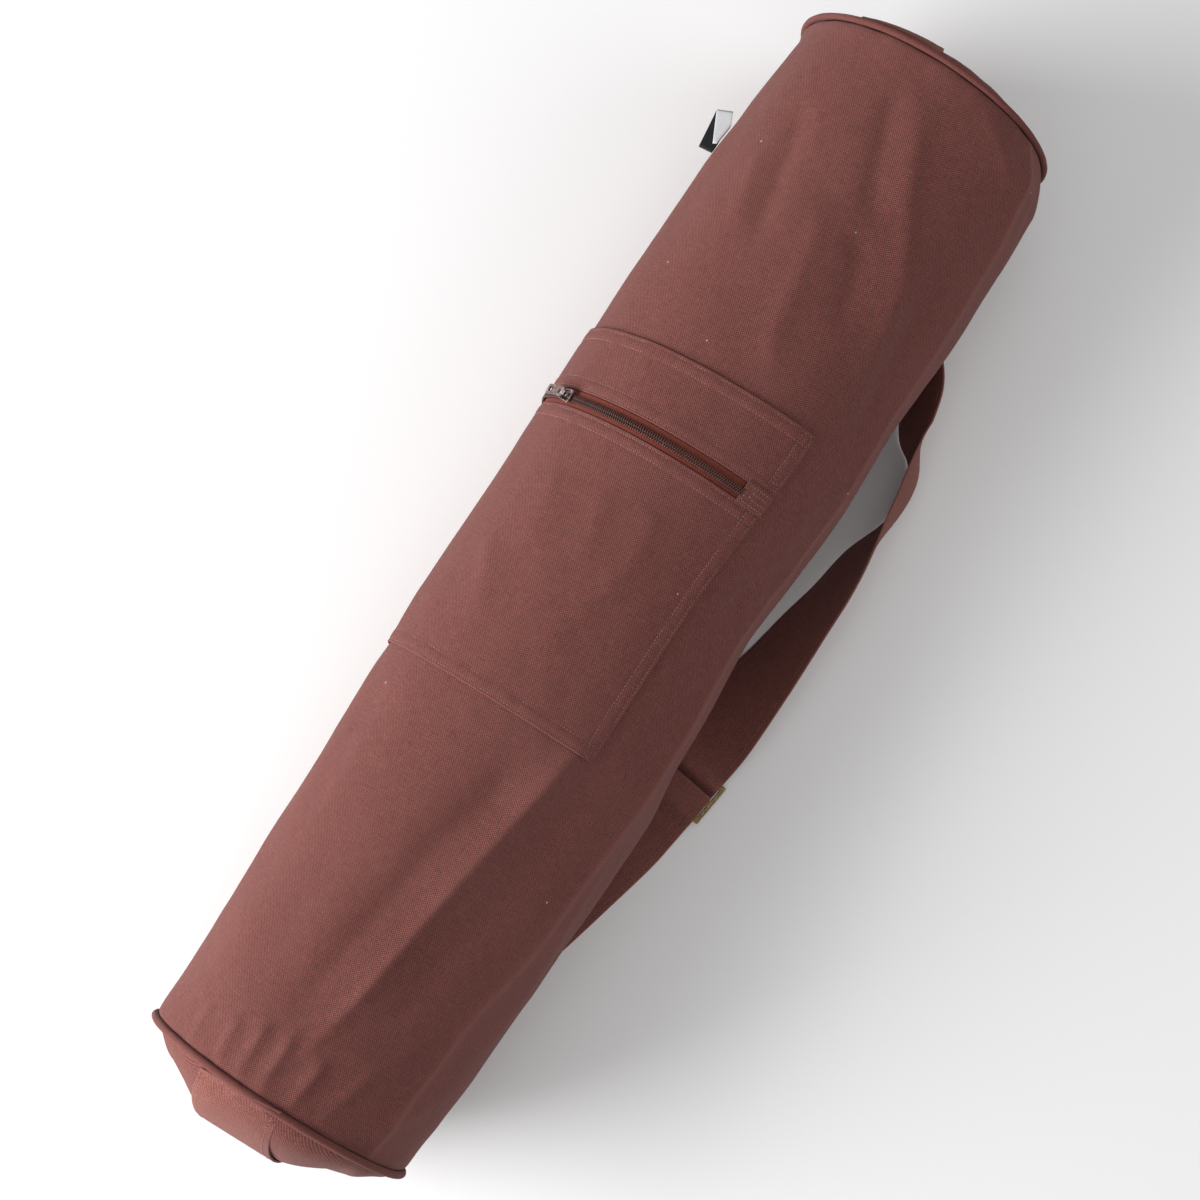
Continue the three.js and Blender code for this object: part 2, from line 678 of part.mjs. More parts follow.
// The tube lies on the strap wherever the strap runs flat enough under it. Each station of the
// strap lifts the tube round three spots across the strap's width.
const STEEPEST_UNDER = 0.75; // rise of the outer edge, as a share of its length
const SPOTS_ACROSS = [-0.4, 0, 0.4];
const SPOT_REACH = 0.36 * STRAP_WIDTH;
const BED = 5 * CLEARANCE;
for (const s of [...strapLine, ...anchorLine]) {
  if (Math.abs(s.point.x) > HALF || s.edge.z > STEEPEST_UNDER) continue;
  for (const share of SPOTS_ACROSS) {
    const spot = s.point.clone().addScaledVector(s.edge, share * STRAP_WIDTH);
    const height = spot.z + STRAP / 2 + BED;
    underlay.push({ x: spot.x, y: spot.y, reach: SPOT_REACH, height });
  }
}

// A closed geometry as a solid that can be cut.
function solidOf(geometry) {
  const bare = geometry.clone();
  bare.deleteAttribute("normal");
  bare.deleteAttribute("uv");
  const merged = mergeVertices(bare);
  return new wasm.Manifold(new wasm.Mesh({
    numProp: 3,
    vertProperties: merged.getAttribute("position").array,
    triVerts: new Uint32Array(merged.index.array),
  }));
}

function geometryFrom(solid) {
  const { vertProperties, triVerts } = solid.getMesh();
  return outward(geometryOf(Array.from(vertProperties), Array.from(triVerts)));
}

// A flat frame with equal bars across it, cut from one plate, lying where a fitting lies.
function barFrame(name, frame, length, bars, bar, side, height) {
  const slot = STRAP_WIDTH + 2 * FITTING_SIDE;
  const outline = roundedRectangle(length, slot + 2 * side, side);
  const plate = new THREE.ExtrudeGeometry(outline, { depth: height, bevelEnabled: false });
  plate.translate(0, 0, -height / 2);
  const room = (length - bars * bar) / (bars - 1);
  let cut = solidOf(plate);
  for (let i = 0; i < bars - 1; i++) {
    const hole = new THREE.BoxGeometry(room, slot, height * 2);
    hole.translate(-length / 2 + bar + room / 2 + i * (bar + room), 0, 0);
    cut = cut.subtract(solidOf(hole));
  }
  const made = mesh(name, geometryFrom(cut), COLOURS.brass, 0.35, 0.9);
  made.position.copy(frame.middle);
  made.rotation.z = radians(frame.heading - 90);
  return made;
}

function roundedRectangle(length, width, radius) {
  const points = [];
  for (let corner = 0; corner < 4; corner++) {
    const [sx, sy] = [[1, 1], [-1, 1], [-1, -1], [1, -1]][corner];
    for (const turn of spaced(corner * 90, corner * 90 + 90, 3)) {
      const x = sx * (length / 2 - radius) + radius * Math.cos(radians(turn));
      const y = sy * (width / 2 - radius) + radius * Math.sin(radians(turn));
      points.push(new THREE.Vector2(x, y));
    }
  }
  return new THREE.Shape(points);
}

// The pocket: two cloth pieces with the zip between them.
const BAND_LOW = POCKET_TOP - BAND_HEIGHT;
const PANEL_HIGH = BAND_LOW - ZIP_OPENING;
const POCKET_BOTTOM = POCKET_TOP - POCKET_HEIGHT;
const CLOTH_LOW = SEAT;
const CLOTH_HIGH = SEAT + POCKET_CLOTH;
const COIL_LOW = SEAT + TAPE + 2 * CLEARANCE;
const COIL_PLACE = PANEL_HIGH + COIL_TO_PANEL + COIL_WIDTH / 2;

function rightEdge(x) {
  return POCKET_RIGHT_ANGLE - (POCKET_SLANT * (POCKET_TOP - x)) / POCKET_HEIGHT;
}

function addPocket(group) {
  const right = rightEdge(BAND_LOW);
  const ends = { left: POCKET_LEFT_ANGLE, tab: right - TAB_LENGTH * DEGREES_A_MM };
  const cloth = (from, to, strips) =>
    patch(from, to, ends.left, rightEdge, CLOTH_LOW, CLOTH_HIGH, POCKET_STEPS, strips);
  group.add(mesh("pocket_band", cloth(BAND_LOW, POCKET_TOP, 2), COLOURS.canvas));
  group.add(mesh("pocket_panel", cloth(POCKET_BOTTOM, PANEL_HIGH, 7), COLOURS.canvas));
  const [tapeFrom, tapeTo] = [PANEL_HIGH + CLEARANCE, BAND_LOW - CLEARANCE];
  group.add(mesh("zip_tape",
    patch(tapeFrom, tapeTo, ends.left, () => right, SEAT, SEAT + TAPE, POCKET_STEPS, 1),
    COLOURS.tape));
  group.add(mesh("zip_coil",
    patch(COIL_PLACE - COIL_WIDTH / 2, COIL_PLACE + COIL_WIDTH / 2, ends.left, () => ends.tab - DEGREES_A_MM,
      COIL_LOW, COIL_LOW + COIL_HEIGHT, POCKET_STEPS, 1), COLOURS.coil, 0.45, 0.5));
  const tabLow = CLOTH_HIGH + CLEARANCE;
  group.add(mesh("zip_end_tab",
    patch(PANEL_HIGH - TAB_OVERLAP, BAND_LOW + TAB_OVERLAP, ends.tab, () => right,
      tabLow, tabLow + POCKET_CLOTH, 3, 1), COLOURS.canvas));
  const sliderLow = COIL_LOW + COIL_HEIGHT + CLEARANCE;
  const sliderHalf = (ZIP_SLIDER_LENGTH / 2) * DEGREES_A_MM;
  group.add(mesh("zip_slider",
    patch(COIL_PLACE - ZIP_SLIDER_WIDTH / 2, COIL_PLACE + ZIP_SLIDER_WIDTH / 2,
      ZIP_SLIDER_ANGLE - sliderHalf, () => ZIP_SLIDER_ANGLE + sliderHalf,
      sliderLow, sliderLow + ZIP_SLIDER_HEIGHT, 3, 2), COLOURS.nickel, 0.35, 0.9));
  const pullLow = sliderLow + ZIP_SLIDER_HEIGHT + CLEARANCE;
  const pullEnd = ZIP_SLIDER_ANGLE - PULL_LENGTH * DEGREES_A_MM;
  group.add(mesh("zip_pull",
    patch(COIL_PLACE - PULL_WIDTH / 2, COIL_PLACE + PULL_WIDTH / 2, pullEnd,
      () => ZIP_SLIDER_ANGLE + sliderHalf / 2, pullLow, pullLow + PULL, 4, 1),
    COLOURS.nickel, 0.35, 0.9));
}

// The closing zip lies along the hidden side as one plain strip.
function closingZip() {
  const half = (CLOSING_ZIP_WIDTH / 2) * DEGREES_A_MM;
  const reach = CLOSING_ZIP_LENGTH / 2;
  const rows = spaced(-reach, reach, 20).map((x) => {
    const across = spaced(CLOSING_ZIP_ANGLE - half, CLOSING_ZIP_ANGLE + half, 2);
    const upper = across.map((angle) => tubePoint(x, angle, SEAT + CLOTH));
    const lower = across.map((angle) => tubePoint(x, angle, SEAT)).reverse();
    return [...upper, ...lower];
  });
  return thin(rows);
}

// A sewn label: a small plate that stands out from the left side of the tube.
function label({ name, width, shift, lift, turn, colour }) {
  const root = tubePoint(LABEL_PLACE, LABEL_ANGLE, 2 * SEAT);
  const plate = new THREE.BoxGeometry(width, LABEL_REACH, LABEL);
  plate.translate(shift * width, LABEL_REACH / 2, 0);
  const made = mesh(name, plate, colour, 0.6);
  made.position.set(root.x, root.y, root.z + lift * LABEL);
  made.rotation.z = radians(turn);
  return made;
}

function build() {
  const bag = new THREE.Group();
  bag.name = "yoga_mat_bag";
  bag.add(mesh("body_tube", tube(), COLOURS.canvas));
  bag.add(mesh("end_panel_top", panel(1), COLOURS.canvas));
  bag.add(mesh("end_panel_bottom", panel(-1), COLOURS.canvas));
  bag.add(mesh("piping_top", piping(1), COLOURS.piping));
  bag.add(mesh("piping_bottom", piping(-1), COLOURS.piping));
  addPocket(bag);
  bag.add(mesh("strap", ribbon(strapLine, STRAP_WIDTH, STRAP), COLOURS.canvas));
  bag.add(mesh("strap_anchor", ribbon(anchorLine, STRAP_WIDTH, STRAP), COLOURS.canvas));
  bag.add(barFrame("strap_slider", slider, SLIDER_LENGTH, 3, BAR_WIDTH, SLIDER_SIDE, BAR_HEIGHT));
  bag.add(barFrame("strap_ring", ring, RING_DEPTH, 2, RING_WIRE, RING_WIRE, RING_WIRE));
  bag.add(mesh("closing_zip", closingZip(), COLOURS.tape));
  for (const row of LABELS) {
    bag.add(label(row));
  }
  return bag;
}

export default build();
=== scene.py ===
"""The looks of a brown canvas yoga mat bag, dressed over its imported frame.

The bag lies on its back: a soft tube with a piped panel at each end, a patch pocket with a zip
over its left side and a shoulder strap beside it. Every piece is worked out in millimetres from
named sizes and short tables and placed in metres, +Z up, +X towards the top end and -Y towards
the strap. An angle round the tube is measured from its crest, positive towards the strap.
"""

import logging
import math
from collections.abc import Callable, Sequence
from dataclasses import dataclass, field
from enum import Enum

import bmesh
import bpy
import numpy as np
from mathutils import Matrix, Vector

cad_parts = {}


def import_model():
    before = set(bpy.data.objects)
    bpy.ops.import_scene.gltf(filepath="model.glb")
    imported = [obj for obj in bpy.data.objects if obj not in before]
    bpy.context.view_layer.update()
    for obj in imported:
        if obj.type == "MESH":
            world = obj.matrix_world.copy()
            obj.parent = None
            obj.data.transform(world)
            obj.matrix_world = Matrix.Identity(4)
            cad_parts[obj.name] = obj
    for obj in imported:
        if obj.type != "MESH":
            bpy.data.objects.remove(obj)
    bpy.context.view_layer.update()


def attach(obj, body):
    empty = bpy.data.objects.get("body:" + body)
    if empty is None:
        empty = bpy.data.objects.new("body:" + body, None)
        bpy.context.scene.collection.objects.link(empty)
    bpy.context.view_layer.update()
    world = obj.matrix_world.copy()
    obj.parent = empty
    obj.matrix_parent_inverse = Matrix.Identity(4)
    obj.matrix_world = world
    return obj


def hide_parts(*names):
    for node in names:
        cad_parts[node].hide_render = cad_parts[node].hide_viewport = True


Array = np.ndarray
LOG = logging.getLogger("bag")
MM = 0.001

# Sizes of the bag in millimetres and degrees, as in the solids
BODY_LENGTH = 676
HALF = BODY_LENGTH / 2
RING_RADIUS = 81.5
BODY_HEIGHT = 151
CLOTH = 1.5
CLEARANCE = 0.3
SEAT = 0.4
PIPING = 5
PIPING_SHARE = {1: 0.76, -1: 0.88}  # of the piping's size that shows, by end
TUBE_INSET = 1.7
PANEL_INSET = 1.9
TOP_BULGE = 10
BOTTOM_BULGE = 29
FLAT = 9
FLOOR_TURN = 2
UNDERSIDE = 40
STRAP_WIDTH = 49
STRAP = 1.6
LAYER = STRAP + CLEARANCE
RING_FLOOR = CLEARANCE + LAYER + PIPING / 2
RING_HEIGHT = RING_FLOOR + RING_RADIUS - FLAT / 2
MIDDLE_HEIGHT = BODY_HEIGHT / 2
STRAP_FLOOR = CLEARANCE / 3 + STRAP / 2
STANDING_EDGE = 0.75  # the rise of the edge of a strap that lifts nothing
ROUND_MM = math.pi * RING_RADIUS * 1.05 / 180  # of a degree round the widened tube

# The tube's sections: place along as a share of half the length, half-widths to the left and
# right as shares of the ring's radius, and the sag of the crest.
SECTION_PLACE = (-1, -0.9, -0.8, -0.6, -0.42, -0.3, -0.18, 0.05, 0.19, 0.32, 0.49, 0.7, 0.83, 0.93, 1)
SECTION_LEFT = (
    1, 1.006, 1.018, 1.038, 1.052, 1.077, 1.106, 1.096, 1.103, 1.114, 1.1, 1.083, 1.058, 1.026, 1)
SECTION_RIGHT = (
    1, 1.047, 1.077, 1.11, 1.133, 1.132, 1.094, 1.03, 1.071, 1.107, 1.086, 1.124, 1.12, 1.097, 1)
SECTION_SAG = (0, 0.15, 0.4, 0.8, 1, 1, 1, 1, 1, 1, 0.9, 0.6, 0.35, 0.15, 0)

# The sharp fold along the right side
FOLD_PLACE = (-1, -0.9, -0.75, -0.55, -0.1, 0.2, 0.5, 0.8, 0.94, 1)
FOLD_ANGLE = (47, 45, 47, 55, 63, 68, 66, 60, 55, 50)
FOLD_HEIGHT = (0, 0.022, 0.027, 0.03, 0.028, 0.02, 0.03, 0.034, 0.03, 0)
FOLD_SPREAD = 11
FOLD_COLUMN = 61
FOLD_PINCH = 1.3

# How far the left and the right side stand out beyond the sections, by place
TRIM_PLACE = (-1, -0.93, -0.6, -0.45, -0.25, 0.36, 0.46, 0.7, 0.85, 0.97, 1)
TRIM_LEFT = (0, -0.8, 0, -0.3, -3.2, -3.0, -1.6, -1.8, -3.0, -3.2, 0)
TRIM_RIGHT = (0, -1.9, -2.0, -1.2, 0, 0, 0.4, 0.9, 0.8, 1.2, 0)

# The soft fold along the left side
LEFT_FOLD_ANGLE = -80
LEFT_FOLD_HEIGHT = 0.012


@dataclass(frozen=True)
class Dent:
    """A long shallow dent: its middle, its reach along and round, and its depth."""

    place: float
    angle: float
    along: float
    round: float
    depth: float


@dataclass(frozen=True)
class Crease:
    """A ridge or valley along a line on the tube, in millimetres of height and width."""

    line: tuple[tuple[float, float], ...]
    height: float
    width: float
    sharp: float = 1.5


DENTS = (
    Dent(0.58, 48, 0.2, 9, 0.024),
    Dent(0.1, 50, 0.2, 9, 0.02),
    Dent(-0.6, 40, 0.3, 14, 0.03),
    Dent(-0.7, -34, 0.22, 12, 0.012),
    Dent(-0.2, -135, 0.3, 14, 0.03),
    Dent(0.5, 128, 0.22, 12, 0.02),
)

CREASE_STRENGTH = 1.35
# Lines of the creases as place and angle
CREASES = (
    Crease(((-0.18, 30), (-0.285, 21), (-0.464, 14.5), (-0.63, 9.5), (-0.772, 5.5),
           (-0.899, 0), (-0.97, -5)), 3.4, 5.5, 0.8),
    Crease(((-0.22, 38), (-0.32, 34), (-0.5, 29), (-0.66, 24), (-0.79, 20), (-0.92, 14)), -1.6, 9, 3),
    Crease(((-0.272, 9), (-0.407, 6), (-0.516, -1), (-0.631, -5), (-0.745, -9), (-0.926, -13)), -2.2, 8, 3),
    Crease(((0.853, -43), (0.763, -35), (0.672, -30), (0.557, -24)), -1.9, 6, 2.5),
    Crease(((0.743, -46), (0.643, -39), (0.579, -35)), 0.9, 5),
    Crease(((0.721, -12), (0.643, -7), (0.556, -3), (0.469, 0), (0.383, 10)), 1.3, 6, 2),
    Crease(((0.69, 0), (0.656, 11), (0.594, 16), (0.52, 17)), -1.6, 6, 2.5),
    Crease(((0.945, -12), (0.862, -7), (0.749, 3), (0.688, 8)), -1.8, 6, 2.5),
    Crease(((0.952, -1), (0.857, 6), (0.775, 14), (0.664, 29), (0.58, 34), (0.453, 38)), 2.0, 7, 2),
    Crease(((0.794, 35), (0.698, 42), (0.626, 45), (0.471, 52), (0.319, 59)), -1.1, 6, 3),
    Crease(((0.98, 18), (0.952, 30), (0.92, 44), (0.909, 62)), 1.3, 5, 2),
    Crease(((0.043, 2.5), (-0.036, -1), (-0.118, -6), (-0.207, -10)), 0.9, 6, 3),
    Crease(((-0.034, -53), (-0.105, -42), (-0.189, -36)), 0.9, 6, 3),
    Crease(((0.106, -40), (0.018, -35), (-0.055, -33)), 0.8, 6, 3),
    Crease(((0.117, -19), (0.031, -15), (-0.028, -15)), 0.7, 5, 3),
    Crease(((0.129, -1), (0.068, 1), (0.0, 4)), 0.7, 5, 3),
    Crease(((0.026, 69), (-0.115, 64), (-0.271, 60), (-0.402, 62), (-0.533, 67), (-0.708, 69),
           (-0.887, 64)), 1.2, 7, 2),
    Crease(((0.3, 50), (0.23, 54), (0.12, 57)), 0.9, 5, 2),
    Crease(((0.181, 57), (0.14, 62), (0.1, 70)), -1.0, 5, 2),
    Crease(((0.103, 46), (0.07, 53), (0.03, 62)), -0.9, 5, 2),
    Crease(((-1.01, -42), (-0.9, -44)), 0.9, 3, 1.5),
    Crease(((-1.01, -27), (-0.9, -29)), 1.4, 3, 1.5),
    Crease(((-1.01, -17), (-0.88, -18)), 1.6, 3, 1.5),
    Crease(((-1.01, -7), (-0.87, -7)), 1.9, 3.2, 1.5),
    Crease(((-1.01, 5), (-0.88, 8)), 2.2, 3.4, 1.5),
    Crease(((-1.01, 16), (-0.88, 24), (-0.78, 40)), 1.2, 3.6, 1.5),
    Crease(((-0.975, 40), (-0.91, 47), (-0.86, 58)), 1.2, 5, 2),
    Crease(((0.98, 62), (0.93, 70), (0.86, 78)), -1.0, 5, 2.5),
    Crease(((0.9, -70), (0.7, -66), (0.5, -68)), -0.8, 9, 4),
    Crease(((-0.3, -62), (-0.55, -58), (-0.8, -62)), -0.8, 10, 5),
    Crease(((-0.25, -92), (-0.5, -96), (-0.75, -92)), 0.9, 10, 4),
    Crease(((0.75, -100), (0.4, -108), (0.1, -104)), 0.9, 9, 4),
    Crease(((0.85, 96), (0.55, 104), (0.2, 98)), -1.0, 9, 4),
    Crease(((-0.15, 92), (-0.45, 98), (-0.8, 94)), 1.1, 9, 4),
)

# The last rings of an end panel towards its seam, as shares of its radius
SEAM_RINGS = (0.925, 0.945, 0.96, 0.972, 0.982, 0.99, 0.996, 1.0)
# How far the bottom panel stands out across its width, as shares
BULGE_SIDE = (-1.0, -0.87, -0.7, -0.25, 0.37, 0.7, 1.0)
BULGE_SHARE = (0, 0.24, 0.52, 1, 1, 0.53, 0)


def eased(at: Array, places: Sequence[float], values: Sequence[float]) -> Array:
    """Reads a table between its rows, half straight and half smoothly.

    Args:
        at: the places asked for.
        places: the rows' places, rising.
        values: the rows' values.

    Returns:
        The values at those places.
    """
    rows, column = np.asarray(places, float), np.asarray(values, float)
    held = np.clip(at, rows[0], rows[-1])
    i = np.clip(np.searchsorted(rows, held, side="right") - 1, 0, len(rows) - 2)
    share = (held - rows[i]) / (rows[i + 1] - rows[i])
    blend = (share + share * share * (3 - 2 * share)) / 2
    return column[i] + (column[i + 1] - column[i]) * blend


def bell(x: Array) -> Array:
    """A smooth hump of height 1 at 0."""
    return np.exp(-x * x)


def step(x: Array, low: float, high: float) -> Array:
    """A smooth step from 0 at low to 1 at high."""
    share = np.clip((x - low) / (high - low), 0, 1)
    return share * share * (3 - 2 * share)


def unit(v: Array) -> Array:
    """Vectors of length 1 along the last axis."""
    return v / np.maximum(np.linalg.norm(v, axis=-1, keepdims=True), 1e-9)


def lengths_along(points: Array) -> Array:
    """The length of the way from the first point to each."""
    return np.concatenate([[0], np.cumsum(np.linalg.norm(np.diff(points, axis=0), axis=1))])


@dataclass(frozen=True)
class Ripples:
    """Seeded soft unevenness over a flat field, from -1 to 1."""

    seed: int
    cell: tuple[float, float]
    size: int = 64

    def at(self, x: Array, y: Array) -> Array:
        """The height at points of the field, from a smooth curve through a grid of chances."""
        grid = np.random.default_rng(self.seed).uniform(-1, 1, (self.size, self.size))
        u, v = x / self.cell[0] + self.size / 2, y / self.cell[1] + self.size / 2
        iu, iv = np.floor(u).astype(int), np.floor(v).astype(int)
        weights_u, weights_v = self.weights(u - iu), self.weights(v - iv)
        total = np.zeros(np.broadcast(u, v).shape)
        for a in range(4):
            for b in range(4):
                cell = grid[(iu + a - 1) % self.size, (iv + b - 1) % self.size]
                total = total + weights_u[a] * weights_v[b] * cell
        return total * 1.6

    @staticmethod
    def weights(t: Array) -> tuple[Array, ...]:
        """The four weights of a smooth curve at a share t between two grid points."""
        return (
            (1 - t) ** 3 / 6,
            (3 * t**3 - 6 * t**2 + 4) / 6,
            (-3 * t**3 + 3 * t**2 + 3 * t + 1) / 6,
            t**3 / 6,
        )


@dataclass
class TubeShape:
    """The outer face of the bag's tube, with all its folds."""

    underlay: Array = field(default_factory=lambda: np.zeros((0, 3)))
    under_reach: float = 0.36 * STRAP_WIDTH

    def crease_height(self, x: Array, angle: Array) -> Array:
        """The height of the creases and of the soft unevenness.

        Args:
            x: places along the tube, in millimetres.
            angle: angles from the crest, in degrees.

        Returns:
            The height in millimetres.
        """
        along, around = x, angle * ROUND_MM
        total = np.zeros(np.broadcast(along, around).shape)
        for crease in CREASES:
            line = np.array([(p * HALF, a * ROUND_MM) for p, a in crease.line])
            lengths = np.linalg.norm(np.diff(line, axis=0), axis=1)
            starts = np.concatenate([[0], np.cumsum(lengths)])
            best = np.full(total.shape, 1e9)
            share = np.zeros(total.shape)
            for k, length in enumerate(lengths):
                way = (line[k + 1] - line[k]) / length
                t = np.clip((along - line[k, 0]) * way[0] + (around - line[k, 1]) * way[1], 0, length)
                away = np.hypot(along - line[k, 0] - way[0] * t, around - line[k, 1] - way[1] * t)
                nearer = away < best
                best = np.where(nearer, away, best)
                share = np.where(nearer, (starts[k] + t) / starts[-1], share)
            taper = step(share, 0, 0.22) * step(1 - share, 0, 0.3)
            soft = np.sqrt(best**2 + crease.sharp**2) - crease.sharp
            total += crease.height * taper * np.exp(-((soft / crease.width) ** 1.3))
        total *= CREASE_STRENGTH
        total += 1.0 * Ripples(3, (64, 30)).at(along, around)
        total += 0.5 * Ripples(5, (27, 13)).at(along, around)
        total += 0.13 * Ripples(8, (9, 6)).at(along, around)
        return total

    def seam_height(self, x: Array, angle: Array) -> Array:
        """The cloth's turn into the piped seams, gathered a little all round.

        Args:
            x: places along the tube, in millimetres.
            angle: angles from the crest, in degrees.

        Returns:
            The height in millimetres.
        """
        away = HALF - np.abs(x)
        gathers = Ripples(13, (400, 7.5)).at(x, angle * ROUND_MM)
        turn = -1.4 * np.exp(-np.maximum(away - 1.6, 0) / 1.6)
        return turn + 0.7 * gathers * np.exp(-away / 13)

    def floor_under(self, x: Array, y: Array, base: Array) -> Array:
        """The height of what lies under the tube.

        Args:
            x: places along the bag.
            y: places across it.
            base: the height of the bare floor for each.

        Returns:
            The height at each point.
        """
        height = np.array(base, float)
        for spot_x, spot_y, spot_height in self.underlay:
            away = np.hypot(x - spot_x, y - spot_y)
            fade = 1 - step(away, self.under_reach, 2 * self.under_reach)
            np.maximum(height, spot_height * fade, out=height)
        return height

    def points(self, x: Array, angle: Array, out: Array | float = 0.0, bare: bool = False) -> Array:
        """Points on the tube.

        Args:
            x: places along the tube, in millimetres.
            angle: angles from the crest, in degrees.
            out: how far out from the cloth's outer face.
            bare: whether the creases are left off.

        Returns:
            The points in millimetres, with a last axis of three.
        """
        x, angle, out = np.broadcast_arrays(np.asarray(x, float), np.asarray(angle, float), out)
        place = np.clip(x / HALF, -1, 1)
        a = np.radians(angle)
        sag = eased(place, SECTION_PLACE, SECTION_SAG)
        right = eased(place, SECTION_PLACE, SECTION_RIGHT)
        left = eased(place, SECTION_PLACE, SECTION_LEFT)
        half = np.where(np.sin(a) > 0, right, left) * RING_RADIUS
        middle = RING_HEIGHT + (MIDDLE_HEIGHT - RING_HEIGHT) * sag
        top = RING_RADIUS + (BODY_HEIGHT - MIDDLE_HEIGHT - RING_RADIUS) * sag
        base = RING_FLOOR * (1 - sag)
        bottom = middle - base + FLAT / 2 + (FLAT / 2) * sag
        from_fold = np.abs(angle - eased(place, FOLD_PLACE, FOLD_ANGLE))
        fold_height = eased(place, FOLD_PLACE, FOLD_HEIGHT)
        crest = np.sqrt(from_fold**2 + 0.15) - math.sqrt(0.15)
        swell = fold_height * np.exp(-crest / FOLD_SPREAD)
        ends = 1 - np.abs(place) ** 8
        away = np.sqrt((angle - LEFT_FOLD_ANGLE) ** 2 + 4) - 2
        swell = swell + LEFT_FOLD_HEIGHT * ends * np.exp(-away / FOLD_SPREAD)
        for dent in DENTS:
            along = bell((place - dent.place) / dent.along)
            swell = swell - dent.depth * ends * along * bell((angle - dent.angle) / dent.round)
        grow = 1 + swell
        if not bare:
            wrapped = (angle + 180) % 360 - 180
            out = out + self.crease_height(x, wrapped) * (1 - np.abs(place) ** 30)
            out = out + self.seam_height(x, wrapped)
            out = out + eased(place, TRIM_PLACE, TRIM_LEFT) * bell((wrapped + 86) / 34)
            out = out + eased(place, TRIM_PLACE, TRIM_RIGHT) * bell((wrapped - 88) / 24)
            pinch = fold_height / 0.03 * FOLD_PINCH
            out = out + pinch * np.exp(-from_fold * ROUND_MM / 2.4)
        rise = np.where(np.cos(a) > 0, top, bottom)
        y = -np.sin(a) * (half * grow + out)
        z = middle + np.cos(a) * (rise * grow + out)
        low = np.minimum(out, 0)
        floor = np.array(base - low)
        near = z < UNDERSIDE
        if len(self.underlay) and near.any():
            floor[near] = self.floor_under(x[near], y[near], base[near]) - low[near]
        closeness = np.maximum(FLOOR_TURN - np.abs(z - floor), 0) / FLOOR_TURN
        z = np.maximum(z, floor) + closeness**2 * FLOOR_TURN / 4
        return np.stack([x, y, z], axis=-1)

    def frame(self, x: Array, angle: Array, out: Array | float = 0.0) -> tuple[Array, Array, Array, Array]:
        """Points on the tube with the directions there.

        Args:
            x: places along the tube, in millimetres.
            angle: angles from the crest, in degrees.
            out: how far out from the cloth's outer face.

        Returns:
            The points, and the directions along the tube, round it and out of it.
        """
        x, angle = np.asarray(x), np.asarray(angle)
        p = self.points(x, angle, out)
        along = unit(self.points(x + 1.5, angle, out) - self.points(x - 1.5, angle, out))
        around = unit(self.points(x, angle + 1, out) - self.points(x, angle - 1, out))
        normal = unit(np.cross(along, around))
        a = np.radians(angle)
        facing = normal[..., 2] * np.cos(a) - normal[..., 1] * np.sin(a)
        return p, along, around, normal * np.where(facing > 0, 1, -1)[..., None]

    def axes(self, x: Array, angle: Array, out: Array | float = 0.0) -> Array:
        """Frames on the tube: round it to the left, along it, out of it, and their places."""
        p, along, around, normal = self.frame(x, angle, out)
        return np.stack([-around, along, normal, p], axis=-2)

    def matrix(self, x: float, angle: float, out: float) -> Matrix:
        """One such frame as a matrix."""
        made = Matrix.Identity(4)
        for c, axis in enumerate(self.axes(np.array([x]), np.array([angle]), out)[0]):
            for r in range(3):
                made[r][c] = float(axis[r])
        return made


def bulge(end: int, y: Array, z: Array) -> Array:
    """How far an end panel stands out.

    Args:
        end: 1 for the top end, -1 for the bottom end.
        y: places across the panel.
        z: heights on it.

    Returns:
        The distance in millimetres.
    """
    side = np.clip(y / RING_RADIUS, -1, 1)
    chord = np.sqrt(np.maximum(1 - side * side, 0))
    up = np.where(chord > 1e-6, (z - RING_HEIGHT) / np.maximum(RING_RADIUS * chord, 1e-6), 1)
    round_off = np.maximum(1 - up * up, 0)
    seam = 1 - np.clip(np.hypot(y, z - RING_HEIGHT) / (RING_RADIUS - PANEL_INSET), 0, 1) ** 36
    if end > 0:
        return TOP_BULGE * seam * round_off**0.32 * (1 - side * side)
    return BOTTOM_BULGE * seam * round_off**0.58 * eased(side, BULGE_SIDE, BULGE_SHARE)


def heading_vector(heading: float, tilt: float = 0.0) -> Array:
    """A direction from its heading and its tilt, in degrees."""
    h, t = math.radians(heading), math.radians(tilt)
    return np.array([math.cos(t) * math.cos(h), math.cos(t) * math.sin(h), math.sin(t)])


def curve_through(points: Array, spacing: float) -> Array:
    """A smooth curve through points.

    Args:
        points: the points in order, of any width.
        spacing: the greatest distance between two points of the curve.

    Returns:
        The curve's points.
    """
    ends = [2 * points[0] - points[1], *points, 2 * points[-1] - points[-2]]
    made = []
    for i in range(len(points) - 1):
        p0, p1, p2, p3 = ends[i : i + 4]
        d0, d1, d2 = (max(np.linalg.norm(b - a) ** 0.5, 1e-4) for a, b in ((p0, p1), (p1, p2), (p2, p3)))
        m1 = ((p1 - p0) / d0 - (p2 - p0) / (d0 + d1) + (p2 - p1) / d1) * d1
        m2 = ((p2 - p1) / d1 - (p3 - p1) / (d1 + d2) + (p3 - p2) / d2) * d1
        count = max(int(math.ceil(np.linalg.norm(p2 - p1) / spacing)), 1)
        last = count + 1 if i == len(points) - 2 else count
        for k in range(last):
            t = k / count
            made.append(
                (2 * t**3 - 3 * t**2 + 1) * p1 + (t**3 - 2 * t**2 + t) * m1
                + (-2 * t**3 + 3 * t**2) * p2 + (t**3 - t**2) * m2)
    return np.array(made)


